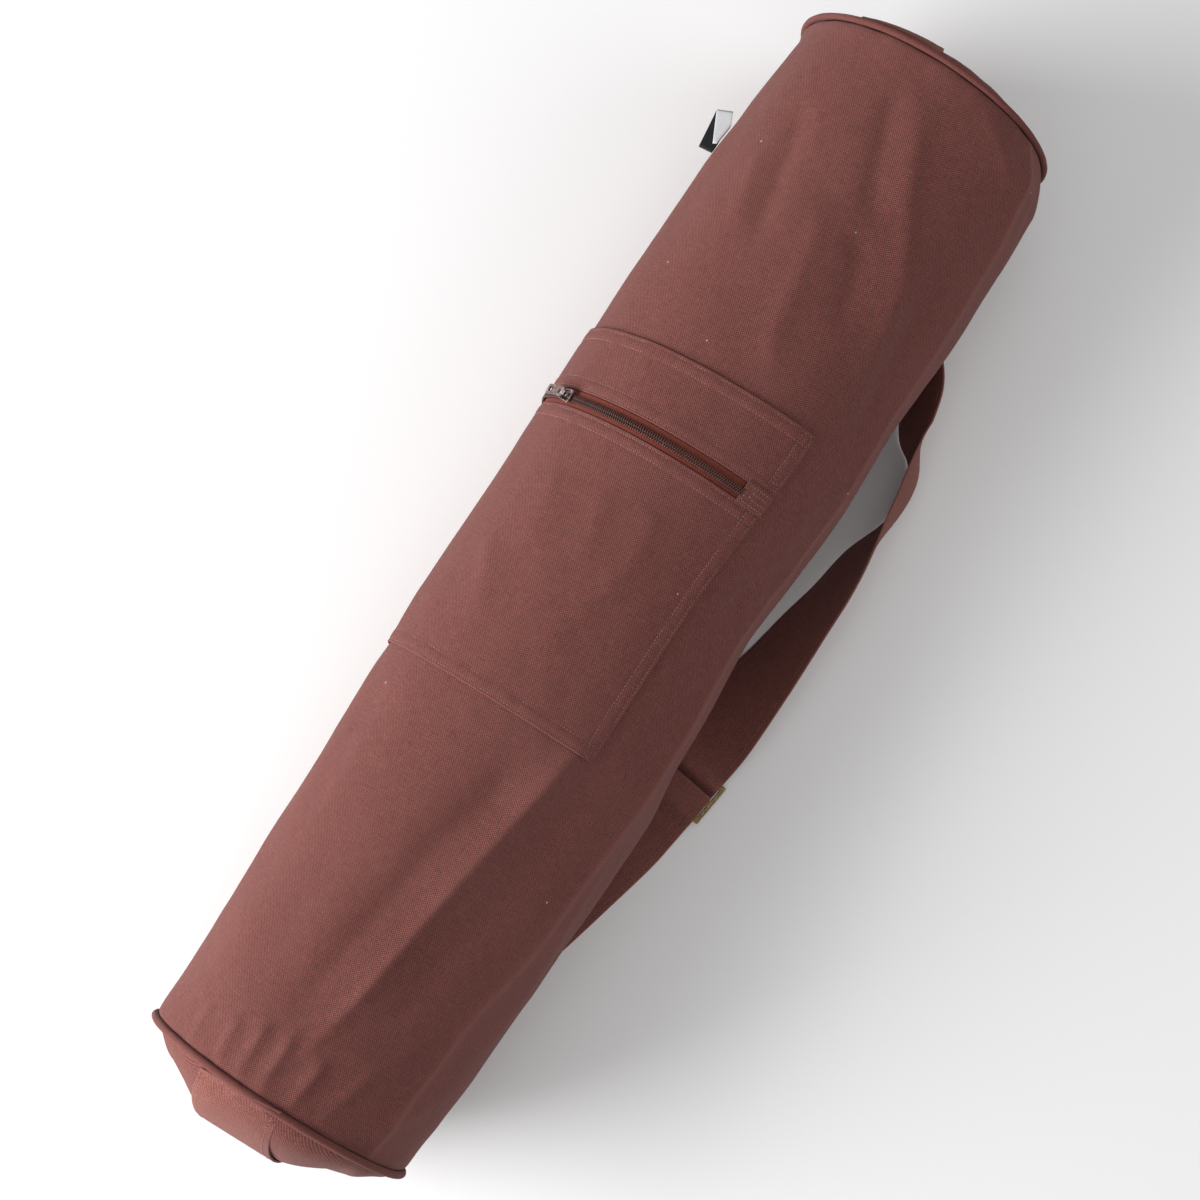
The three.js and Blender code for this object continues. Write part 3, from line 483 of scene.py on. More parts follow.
def new_object(name: str, mesh: bpy.types.Mesh) -> bpy.types.Object:
    """Links a mesh to the scene as an object at the origin."""
    made = bpy.data.objects.new(name, mesh)
    bpy.context.scene.collection.objects.link(made)
    return made


def skin(name: str, rows: Array, uv: Array, merge: bool = True) -> bpy.types.Object:
    """A surface through a grid of points, closed where its borders meet.

    Args:
        name: the piece's name.
        rows: the points in millimetres, as rows of points.
        uv: the same grid's places on the flat cloth, in metres.
        merge: whether borders that meet are joined.

    Returns:
        The new object.
    """
    across, along = rows.shape[0] - 1, rows.shape[1] - 1
    bm = bmesh.new()
    bmesh.ops.create_grid(bm, x_segments=across, y_segments=along, size=1.0)
    mesh = bpy.data.meshes.new(name)
    bm.to_mesh(mesh)
    bm.free()
    flat = np.empty(len(mesh.vertices) * 3)
    mesh.vertices.foreach_get("co", flat)
    grid = flat.reshape(-1, 3)
    i = np.rint((grid[:, 0] + 1) / 2 * across).astype(int)
    j = np.rint((grid[:, 1] + 1) / 2 * along).astype(int)
    mesh.vertices.foreach_set("co", (rows[i, j] * MM).ravel())
    corners = np.empty(len(mesh.loops), dtype=np.int32)
    mesh.loops.foreach_get("vertex_index", corners)
    layer = mesh.uv_layers.new(name="cloth")
    layer.data.foreach_set("uv", uv[i[corners], j[corners]].ravel())
    if merge:
        bm = bmesh.new()
        bm.from_mesh(mesh)
        bmesh.ops.remove_doubles(bm, verts=bm.verts, dist=2e-6)
        bmesh.ops.dissolve_degenerate(bm, edges=bm.edges, dist=1e-7)
        bmesh.ops.recalc_face_normals(bm, faces=bm.faces)
        if bm.calc_volume(signed=True) < 0:
            bmesh.ops.reverse_faces(bm, faces=bm.faces)
        bm.to_mesh(mesh)
        bm.free()
    mesh.shade_smooth()
    return new_object(name, mesh)


def with_hems(low: float, high: float, spacing: float, hem: float) -> tuple[Array, Array]:
    """Places between two edges, close together at each.

    Args:
        low: the lower edge.
        high: the upper edge.
        spacing: the distance between places away from the edges.
        hem: the reach of the close places.

    Returns:
        The places, and each one's distance from an edge.
    """
    near = np.array([0, 0.04, 0.15, 0.35, 0.65, 1.0]) * hem
    count = max(int(round((high - low - 2 * hem) / spacing)), 1)
    middle = np.linspace(low + hem, high - hem, count + 1)
    places = np.concatenate([low + near[:-1], middle, (high - near[:-1])[::-1]])
    return places, np.minimum(places - low, high - places)


def pillow(name: str, upper: Array, lower: Array, uv: Array) -> bpy.types.Object:
    """A thin closed sheet between two grids that share their borders."""
    rows = np.concatenate([upper, lower[:, ::-1][:, 1:]], axis=1)
    places = np.concatenate([uv, uv[:, ::-1][:, 1:]], axis=1)
    return skin(name, rows, places)


def rounded(bm: bmesh.types.BMesh, edges: Sequence[bmesh.types.BMEdge], offset: float, segments: int) -> None:
    """Rounds edges of a mesh."""
    bmesh.ops.bevel(bm, geom=edges, offset=offset, offset_type="OFFSET", segments=segments, profile=0.5,
                    affect="EDGES", material=-1, clamp_overlap=True)


def taken(bm: bmesh.types.BMesh) -> tuple[Array, Array]:
    """A small mesh's points and faces, which is then freed."""
    points = np.array([v.co[:] for v in bm.verts])
    faces = np.array([[v.index for v in f.verts] for f in bm.faces])
    bm.free()
    return points, faces


def copies(name: str, spots: Array, faces: Array, frames: Array) -> bpy.types.Object:
    """One piece made of a small shape's copies.

    Args:
        name: the piece's name.
        spots: the shape's points in its own frame, alike for all copies or one set for each.
        faces: the shape's triangles.
        frames: three directions and a place for each copy.

    Returns:
        The piece.
    """
    points = np.matmul(spots, frames[:, :3]) + frames[:, 3:4]
    offsets = np.arange(len(frames))[:, None, None] * spots.shape[-2]
    mesh = bpy.data.meshes.new(name)
    triangles = (faces[None] + offsets).reshape(-1, 3)
    mesh.from_pydata((points.reshape(-1, 3) * MM).tolist(), [], triangles.tolist())
    mesh.shade_smooth()
    return new_object(name, mesh)


class Weave(Enum):
    """How a cloth's threads cross."""

    PLAIN = "plain"
    RIBBED = "ribbed"
    SATIN = "satin"


class Nodes:
    """A material's nodes, with a short way to add and join them."""

    def __init__(self, name: str) -> None:
        """Starts a material with one surface shader.

        Args:
            name: the material's name.
        """
        self.material = bpy.data.materials.new(name)
        self.material.use_nodes = True
        self.tree = self.material.node_tree
        self.tree.nodes.clear()
        output = self.tree.nodes.new("ShaderNodeOutputMaterial")
        self.surface = self.tree.nodes.new("ShaderNodeBsdfPrincipled")
        self.tree.links.new(self.surface.outputs[0], output.inputs[0])

    def feed(self, socket: bpy.types.NodeSocket, value: object) -> None:
        """Sets a socket to a value or links an output to it."""
        if isinstance(value, bpy.types.NodeSocket):
            self.tree.links.new(value, socket)
        elif hasattr(socket, "default_value"):
            socket.default_value = value

    def add(self, kind: str, inputs: dict | None = None, **settings: object) -> bpy.types.Node:
        """Adds a node.

        Args:
            kind: the node's type, without its usual first word.
            inputs: values or outputs for its sockets, by name or number.
            settings: the node's own settings.

        Returns:
            The node.
        """
        node = self.tree.nodes.new("ShaderNode" + kind)
        for key, value in settings.items():
            setattr(node, key, value)
        for key, value in (inputs or {}).items():
            self.feed(node.inputs[key], value)
        return node

    def maths(self, operation: str, a: object, b: object = 0.0) -> bpy.types.NodeSocket:
        """The result of one sum."""
        return self.add("Math", {0: a, 1: b}, operation=operation).outputs[0]

    def mix(self, share: object, a: object, b: object, blend: str = "MIX") -> bpy.types.NodeSocket:
        """Two colours mixed."""
        node = self.add("Mix", data_type="RGBA", blend_type=blend)
        self.feed(node.inputs[0], share)
        self.feed(node.inputs[6], a)
        self.feed(node.inputs[7], b)
        return node.outputs[2]

    def plus(self, a: object, b: object) -> bpy.types.NodeSocket:
        """Two values added."""
        return self.maths("ADD", a, b)

    def times(self, a: object, b: object) -> bpy.types.NodeSocket:
        """Two values multiplied."""
        return self.maths("MULTIPLY", a, b)

    def ramp(
        self, value: object, low: float, high: float, to_low: float = 0, to_high: float = 1
    ) -> bpy.types.NodeSocket:
        """A value spread from one range to another and held there."""
        node = self.add("MapRange", {0: value, 1: low, 2: high, 3: to_low, 4: to_high}, clamp=True)
        return node.outputs[0]

    def noise(
        self, vector: object, scale: float, detail: float = 2.0, rough: float = 0.5
    ) -> bpy.types.NodeSocket:
        """Smooth noise."""
        inputs = {"Vector": vector, "Scale": scale, "Detail": detail, "Roughness": rough}
        return self.add("TexNoise", inputs).outputs["Fac"]

    def stretched(self, vector: object, scale: tuple[float, float, float]) -> bpy.types.NodeSocket:
        """Places stretched by a scale on each axis."""
        return self.add("Mapping", {"Vector": vector, "Scale": scale}).outputs[0]

    def bump(
        self, height: object, distance: float, strength: float = 1.0, under: object = None
    ) -> bpy.types.NodeSocket:
        """A bumped normal."""
        inputs = {"Height": height, "Distance": distance, "Strength": strength}
        node = self.add("Bump", inputs)
        if under is not None:
            self.feed(node.inputs["Normal"], under)
        return node.outputs[0]


Colour = tuple[float, float, float]
LINT: Colour = (205, 165, 150)


def linear(colour: Colour) -> tuple[float, float, float, float]:
    """A colour given as screen values from 0 to 255, for a shader."""
    made = [c / 255 for c in colour]
    made = [c / 12.92 if c <= 0.04045 else ((c + 0.055) / 1.055) ** 2.4 for c in made]
    return (*made, 1.0)


def shaded(colour: Sequence[float], share: float, added: float = 0.0) -> tuple[float, float, float, float]:
    """A shader's colour made darker or lighter."""
    return (*(min(c * share + added, 1) for c in colour[:3]), 1.0)


@dataclass(frozen=True)
class ClothFinish:
    """Woven cloth whose threads follow the piece's own flat places."""

    name: str
    colour: Colour
    weave: Weave = Weave.PLAIN
    pitch: float = 0.00072
    relief: float = 0.00022
    contrast: float = 0.5
    slubs: float = 0.2
    fading: float = 0.12
    rough: float = 0.9
    sheen: float = 0.05
    lint_and_fold_light: bool = False

    def material(self) -> bpy.types.Material:
        """Builds the finish."""
        n = Nodes(self.name)
        flat = n.add("UVMap", uv_map="cloth").outputs[0]
        place = n.add("TexCoord").outputs["Object"]
        shift = n.times(n.noise(flat, 240, 1.0), 1.0)
        split = n.add("SeparateXYZ", {0: flat})
        turn = math.pi / self.pitch
        warp = n.maths("SINE", n.plus(n.times(split.outputs[0], turn), shift))
        weft = n.maths("SINE", n.plus(n.times(split.outputs[1], turn), shift))
        if self.weave is Weave.PLAIN:
            threads = n.plus(n.times(n.times(warp, weft), 0.5), 0.5)
        elif self.weave is Weave.RIBBED:
            threads = n.plus(n.times(n.maths("ABSOLUTE", weft), 0.8), n.times(warp, 0.1))
        else:
            threads = n.plus(n.times(n.maths("ABSOLUTE", warp), 0.5), 0.2)
        slub_along = n.noise(n.stretched(flat, (120, 1250, 1)), 1.0, 2.0, 0.6)
        slub_across = n.noise(n.stretched(flat, (1250, 120, 1)), 1.0, 2.0, 0.6)
        slub = n.plus(n.times(slub_along, 0.5), n.times(slub_across, 0.5))
        clouds = n.noise(place, 9, 3.0, 0.55)
        base = linear(self.colour)
        dark, light = shaded(base, 1 - self.contrast), shaded(base, 1 + self.contrast)
        colour = n.mix(n.ramp(threads, 0.1, 0.9), dark, light)
        uneven = n.ramp(slub, 0.36, 0.64, 1 - self.slubs, 1 + self.slubs)
        colour = n.mix(1.0, colour, uneven, "MULTIPLY")
        speckle = n.ramp(n.noise(flat, 1500, 1.0), 0.35, 0.65, 1 - self.slubs, 1 + self.slubs)
        colour = n.mix(1.0, colour, speckle, "MULTIPLY")
        faded = shaded(base, 1 + self.fading, 0.012)
        colour = n.mix(n.times(n.ramp(clouds, 0.42, 0.68), 0.3), colour, faded)
        # Sharp ridges of the cloth are painted lighter: partly worn canvas, partly a painted highlight where
        # light catches them.
        worn = shaded(base, 1 + 3 * self.fading, 0.02)
        edges = n.add("NewGeometry").outputs["Pointiness"]
        colour = n.mix(n.ramp(edges, 0.515, 0.58, 0, 0.55), colour, worn)
        if self.lint_and_fold_light:
            # The mask named worn paints a light line on the sharp fold, partly worn cloth and partly painted
            # highlight, and painted fill light on the strip beyond it.
            folds = n.add("Attribute", attribute_name="worn").outputs["Fac"]
            colour = n.mix(n.times(folds, 0.75), colour, worn)
            specks = n.add("TexVoronoi", {"Vector": place, "Scale": 95.0, "Randomness": 1.0})
            chance = n.add("SeparateColor", {0: specks.outputs["Color"]}).outputs[0]
            spot = n.maths("LESS_THAN", specks.outputs["Distance"], 0.06)
            rare = n.maths("GREATER_THAN", chance, 0.93)
            colour = n.mix(n.times(n.times(spot, rare), 0.7), colour, linear(LINT))
        n.feed(n.surface.inputs["Base Color"], colour)
        fuzz = n.noise(flat, 2600, 1.0)
        height = n.plus(n.times(threads, 0.9), n.times(slub, 0.35))
        height = n.plus(height, n.times(fuzz, 0.25))
        soft = n.bump(n.noise(place, 55, 3.0, 0.6), 0.0016, 0.35)
        n.feed(n.surface.inputs["Normal"], n.bump(height, self.relief, 1.0, soft))
        n.feed(n.surface.inputs["Roughness"], n.ramp(threads, 0, 1, self.rough + 0.08, self.rough - 0.08))
        n.surface.inputs["Sheen Weight"].default_value = self.sheen
        n.surface.inputs["Sheen Roughness"].default_value = 0.5
        n.surface.inputs["Specular IOR Level"].default_value = 0.14
        return n.material


@dataclass(frozen=True)
class MetalFinish:
    """Worn metal: a coating that is rubbed through to a second colour."""

    name: str
    colour: Colour
    worn: Colour
    rough: float = 0.34
    wear: float = 0.5
    metal: float = 1.0

    def material(self) -> bpy.types.Material:
        """Builds the finish."""
        n = Nodes(self.name)
        place = n.add("TexCoord").outputs["Object"]
        edges = n.add("NewGeometry").outputs["Pointiness"]
        patches = n.noise(place, 420, 4.0, 0.65)
        rubbed = n.plus(n.ramp(edges, 0.5, 0.62, 0, 0.6), n.ramp(patches, 0.46, 0.62, 0, self.wear))
        colour = n.mix(n.ramp(rubbed, 0.1, 0.9), linear(self.colour), linear(self.worn))
        n.feed(n.surface.inputs["Base Color"], colour)
        n.surface.inputs["Metallic"].default_value = self.metal
        n.feed(n.surface.inputs["Roughness"], n.ramp(patches, 0.3, 0.7, self.rough - 0.08, self.rough + 0.16))
        scratches = n.noise(n.stretched(place, (300, 2600, 900)), 1.0, 2.0)
        n.feed(n.surface.inputs["Normal"], n.bump(scratches, 0.00004, 0.6))
        return n.material


@dataclass(frozen=True)
class ThreadFinish:
    """Twisted sewing thread."""

    name: str
    colour: Colour

    def material(self) -> bpy.types.Material:
        """Builds the finish."""
        n = Nodes(self.name)
        place = n.add("TexCoord").outputs["Object"]
        wave = {"Vector": place, "Scale": 900.0, "Distortion": 2.0}
        twist = n.add("TexWave", wave, bands_direction="DIAGONAL")
        shade = n.noise(place, 300, 2.0)
        base = linear(self.colour)
        dark = shaded(base, 0.62)
        colour = n.mix(n.ramp(shade, 0.3, 0.7), dark, base)
        n.feed(n.surface.inputs["Base Color"], colour)
        n.feed(n.surface.inputs["Normal"], n.bump(twist.outputs["Fac"], 0.00008, 0.8))
        n.feed(n.surface.inputs["Roughness"], n.ramp(shade, 0.3, 0.7, 0.55, 0.8))
        n.surface.inputs["Sheen Weight"].default_value = 0.2
        return n.material


# The canvas has lint specks, and a painted highlight and painted fill light along its sharp fold.
CANVAS = ClothFinish("brown_canvas", (109, 65, 60), lint_and_fold_light=True)
# The strap's colour is lighter than the canvas's: painted light that offsets the shade the bag casts on the
# strap.
WEBBING_PAINTED_LIGHT = ClothFinish("strap_canvas_painted_light", (122, 76, 69), contrast=0.3)
CORD_CLOTH = ClothFinish("piping_cloth", (104, 59, 54), pitch=0.0007, contrast=0.25)
TAPE_CLOTH = ClothFinish(
    "zip_tape_cloth", (114, 56, 46), weave=Weave.RIBBED, pitch=0.0006, contrast=0.2, slubs=0.1)
HIDDEN_TAPE = ClothFinish(
    "closing_zip_tape", (104, 55, 48), weave=Weave.RIBBED, pitch=0.0007, contrast=0.2, slubs=0.1)
WHITE_SATIN = ClothFinish(
    "white_label_satin", (214, 217, 221), weave=Weave.SATIN, pitch=0.00035, relief=0.00005,
    contrast=0.04, slubs=0.03, fading=0.03, rough=0.5, sheen=0.2)
BLACK_SATIN = ClothFinish(
    "black_label_satin", (27, 28, 31), weave=Weave.SATIN, pitch=0.0004, relief=0.00008,
    contrast=0.15, slubs=0.1, fading=0.1, rough=0.6, sheen=0.2)
COIL = MetalFinish("zip_coil_brown", (76, 48, 43), (130, 94, 84), rough=0.38, wear=0.2, metal=0.25)
NICKEL = MetalFinish("pinkish_nickel", (122, 98, 98), (206, 190, 186), rough=0.26, wear=0.35)
BRASS = MetalFinish("worn_brass", (112, 93, 58), (182, 164, 128), rough=0.38, wear=0.4)
THREAD = ThreadFinish("sewing_thread", (152, 101, 91))


def dress(piece: bpy.types.Object, finish: bpy.types.Material, slot: str | None, *nodes: str) -> None:
    """Gives a piece its finish and its place in the frame.

    Args:
        piece: the piece.
        finish: its material.
        slot: a slot name for the piece; not used.
        nodes: the solids that it stands for.
    """
    piece.data.materials.clear()
    piece.data.materials.append(finish)
    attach(piece, "root")
    if nodes:
        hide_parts(*nodes)
    LOG.info("%s: %d faces", piece.name, len(piece.data.polygons))


@dataclass(frozen=True)
class FittingFrame:
    """The frame that a strap fitting lies in: its place, its side, its heading and its height."""

    place: float
    side: float
    heading: float
    height: float

    @property
    def middle(self) -> Array:
        """The fitting's middle."""
        return np.array([self.place * HALF, self.side * RING_RADIUS, self.height])

    def station(self, along: float, up: float) -> Array:
        """A strap station in this frame: its point, then the direction of its outer edge."""
        across = heading_vector(self.heading)
        way = np.array([across[1], -across[0], 0])
        return np.concatenate([self.middle + way * along + np.array([0, 0, up]), across])


BAR_HEIGHT = 2.2
BAR_WIDTH = 3.6
SLIDER_LENGTH = 27.6
SLIDER_SIDE = 2.6
RING_WIRE = 3
RING_DEPTH = 17
ANCHOR_TAIL = 22
FITTING_SIDE = 0.6
SETTLE = 9
LOOP_TAIL = 26.4
SLIDER_HEIGHT = STRAP_FLOOR + 2 * LAYER - STRAP / 2 + BAR_HEIGHT / 2
RING_MIDDLE = STRAP_FLOOR + STRAP / 2 + CLEARANCE + RING_WIRE / 2
OVER_BAR = BAR_HEIGHT / 2 + CLEARANCE + STRAP / 2
OVER_WIRE = RING_WIRE / 2 + CLEARANCE + STRAP / 2
NEAR_WIRE = (RING_DEPTH - RING_WIRE) / 2
END_BAR = SLIDER_LENGTH / 2 - BAR_WIDTH / 2
SLIDER = FittingFrame(-0.192, -1.171, -97.6, SLIDER_HEIGHT)
RING = FittingFrame(-0.775, -0.55, -116, RING_MIDDLE)

# The strap's way beside the tube: place, side, layers below it, heading and tilt of its outer
# edge. Its inner edge stays on the floor.
STRAP_ROUTE = (
    (0.93, 0.24, 0, -76, 0),
    (0.86, 0.06, 0, -62, 3),
    (0.79, -0.2, 0, -52, 11),
    (0.72, -0.56, 0, -46, 24),
    (0.667, -0.905, 0, -42, 46),
    (0.618, -1.14, 0, -50, 66),
    (0.545, -1.275, 0, -62, 79),
    (0.5125, -1.385, 0, -70, 95),
    (0.484, -1.455, 0, -78, 101),
    (0.446, -1.49, 0, -86, 101),
    (0.388, -1.49, 0, -92, 95),
    (0.3, -1.435, 0, -93, 76),
    (0.21, -1.395, 0, -94, 66),
    (0.14, -1.36, 0, -94, 58),
    (0.04, -1.31, 0, -95, 46),
    (-0.04, -1.26, 1, -96, 29),
    (-0.1, -1.225, 2, -97, 12),
)
# From the slider to the ring, and from under the bottom seam to the ring: place, side, heading
RING_ROUTE = ((-0.325, -1.095, -103), (-0.42, -1.0, -104), (-0.55, -0.86, -105), (-0.67, -0.71, -109))
ANCHOR_ROUTE = ((-0.925, -0.19, -102), (-0.88, -0.28, -112))
# Where a band crosses an end panel, at the near rim and at the floor, and its stations on the way
TOP_BAND = (0.38, 0.32)
BOTTOM_BAND = (0.22, -0.14)
BAND_SHARES = (0, 0.04, 0.1, 0.2, 0.35, 0.5, 0.65, 0.8, 0.9, 0.96, 0.99)


def round_bar(half_width: float, half_height: float, away: float, side: int) -> list[tuple[float, float]]:
    """Steps along and up round a bar, from its top over one side to its bottom."""
    turns = [math.radians(t) for t in (90, 60, 30, 0)]
    top = [(side * (half_width + away * math.cos(t)), half_height + away * math.sin(t)) for t in turns]
    bottom = [(along, -up) for along, up in reversed(top)]
    return top + bottom if half_height > 0 else top + bottom[1:]


@dataclass
class StrapWay:
    """The middle line of the strap and of its anchor, as stations of a point and an edge."""

    seam_low: dict[int, float]

    def band(self, end: int, rims: tuple[float, float]) -> list[Array]:
        """Stations over an end panel, from the near rim down and round the piping.

        Args:
            end: 1 for the top end, -1 for the bottom end.
            rims: the band's side at the near rim and at the floor, as shares of the radius.

        Returns:
            The stations, from above.
        """
        edge = heading_vector(-90)
        out = CLEARANCE * 2 + STRAP / 2
        top = RING_HEIGHT + RING_RADIUS * math.sqrt(1 - rims[0] ** 2) - PIPING
        lowest = self.seam_low[end]
        clear = PIPING / 2 + out
        made = []
        for share in BAND_SHARES:
            y = (rims[0] + (rims[1] - rims[0]) * share) * RING_RADIUS
            z = top + (lowest - top) * share
            sides = y + np.linspace(-0.5, 0.5, 5) * STRAP_WIDTH
            most = float(bulge(end, sides, np.full(5, z)).max())
            x = end * (HALF + max(CLOTH / 2 + most + out, clear))
            made.append(np.concatenate([[x, y, z], edge]))
        y = rims[1] * RING_RADIUS
        for along, up in round_bar(0, 0, clear, 1)[3:]:
            made.append(np.concatenate([[end * (HALF + along), y, max(lowest + up, STRAP_FLOOR)], edge]))
        made.append(np.concatenate([[end * (HALF - 2 * PIPING), y, STRAP_FLOOR], edge]))
        return made

    @staticmethod
    def on_floor(row: tuple[float, float, float], layers: int = 0) -> Array:
        """A station that lies flat on the floor or on layers of strap."""
        place, side, heading = row
        point = [place * HALF, side * RING_RADIUS, STRAP_FLOOR + layers * LAYER]
        return np.concatenate([point, heading_vector(heading)])

    @staticmethod
    def turn_round(side: int) -> list[Array]:
        """Stations from below one of the ring's bars to above it."""
        bar = side * NEAR_WIRE
        turned = round_bar(RING_WIRE / 2, RING_WIRE / 2, CLEARANCE + STRAP / 2, -side)[::-1]
        return [
            RING.station(bar + side * 2 * RING_WIRE, -OVER_WIRE),
            RING.station(bar + side * RING_WIRE / 2, -OVER_WIRE),
            *[RING.station(bar + along, up) for along, up in turned],
            RING.station(bar + side * RING_WIRE / 2, OVER_WIRE),
            RING.station(bar + side * 2 * RING_WIRE, OVER_WIRE * 0.8),
        ]

    def strap(self) -> Array:
        """The whole strap, from the top panel to its looped end at the slider."""
        free = []
        for place, side, layers, heading, tilt in STRAP_ROUTE:
            rise = (STRAP_WIDTH / 2) * math.sin(math.radians(tilt))
            point = [place * HALF, side * RING_RADIUS, STRAP_FLOOR + layers * LAYER + rise]
            free.append(np.concatenate([point, heading_vector(heading, tilt)]))
        turn = STRAP_FLOOR - SLIDER_HEIGHT
        slot = END_BAR - BAR_WIDTH
        at = SLIDER.station
        down = [
            at(-END_BAR - SETTLE * 0.45, OVER_BAR),
            at(-END_BAR + BAR_WIDTH / 2, OVER_BAR),
            at(-slot * 0.98, OVER_BAR * 0.55),
            at(-slot * 0.67, turn * 0.5),
            at(-slot * 0.38, turn * 0.93),
            at(-slot * 0.12, turn),
            at(END_BAR, turn),
        ]
        loop = [
            at(LOOP_TAIL + SETTLE * 0.8, turn + LAYER * 1.1),
            at(LOOP_TAIL + SETTLE * 0.1, turn + LAYER * 2.1),
            at(END_BAR + SETTLE, turn + LAYER * 2.6),
            at(END_BAR + BAR_WIDTH / 2, OVER_BAR + LAYER),
            at(END_BAR / 2, OVER_BAR + LAYER * 0.7),
            *[at(a, u) for a, u in round_bar(BAR_WIDTH / 2, BAR_HEIGHT / 2, CLEARANCE + STRAP / 2, -1)],
            at(BAR_WIDTH / 2 + 2 * CLEARANCE, -OVER_BAR),
            at(END_BAR - BAR_WIDTH / 2 - STRAP, OVER_BAR * 0.87),
            at(END_BAR + BAR_WIDTH / 2, OVER_BAR),
            at(END_BAR + SETTLE, turn + LAYER * 1.4),
            at(LOOP_TAIL, turn + LAYER),
        ]
        away = [self.on_floor(row) for row in RING_ROUTE]
        back = [self.on_floor(row, 1) for row in reversed(RING_ROUTE)]
        over = self.band(1, TOP_BAND)
        return np.array([*over, *free, *down, *away, *self.turn_round(-1), *back, *loop])

    def anchor(self) -> Array:
        """The anchor, from the bottom panel round the ring's far bar."""
        return np.array([
            *self.band(-1, BOTTOM_BAND),
            *[self.on_floor(row) for row in ANCHOR_ROUTE],
            *self.turn_round(1),
            RING.station(NEAR_WIRE + ANCHOR_TAIL, STRAP_FLOOR + LAYER - RING_MIDDLE),
        ])

    @staticmethod
    def underlay(*lines: Array) -> Array:
        """The spots that lift the tube where a strap runs under it."""
        spots = []
        for line in lines:
            for row in line:
                point, edge = row[:3], unit(row[3:])
                if abs(point[0]) > HALF or edge[2] > STANDING_EDGE:
                    continue
                for share in (-0.4, 0, 0.4):
                    x, y, z = point + edge * share * STRAP_WIDTH
                    spots.append((x, y, z + STRAP / 2 + 5 * CLEARANCE))
        return np.array(spots)


@dataclass
class Stitching:
    """Rows of thread laid on the pieces, gathered into one piece."""

    length: float = 1.65
    pitch: float = 2.15
    width: float = 0.56
    height: float = 0.36
    places: list[Array] = field(default_factory=list)

    def row(self, points: Array, normals: Array) -> None:
        """Lays stitches along a line.

        Args:
            points: points along the line, close together.
            normals: the way out of the cloth at each.
        """
        lengths = lengths_along(points)
        middle = (np.arange(max(int(lengths[-1] // self.pitch), 1)) + 0.5) * self.pitch

        def read(values: Array, at: Array) -> Array:
            """The values at lengths along the line."""
            return np.stack([np.interp(at, lengths, values[:, c]) for c in range(3)], axis=-1)

        a, b = read(points, middle - self.length / 2), read(points, middle + self.length / 2)
        out, along = unit(read(normals, middle)), unit(b - a)
        side = unit(np.cross(out, along))
        out = np.cross(along, side)
        self.places.append(np.stack([
            along * self.length / 2, side * self.width / 2, out * self.height / 2,
            (a + b) / 2 + out * self.height * 0.22], axis=1))

    def build(self, name: str) -> bpy.types.Object:
        """Makes one piece of all the stitches."""
        bm = bmesh.new()
        bmesh.ops.create_icosphere(bm, subdivisions=1, radius=1.0)
        bead, faces = taken(bm)
        squared = np.sign(bead) * np.abs(bead) ** np.array([0.8, 1, 1])
        return copies(name, squared, faces, np.concatenate(self.places))


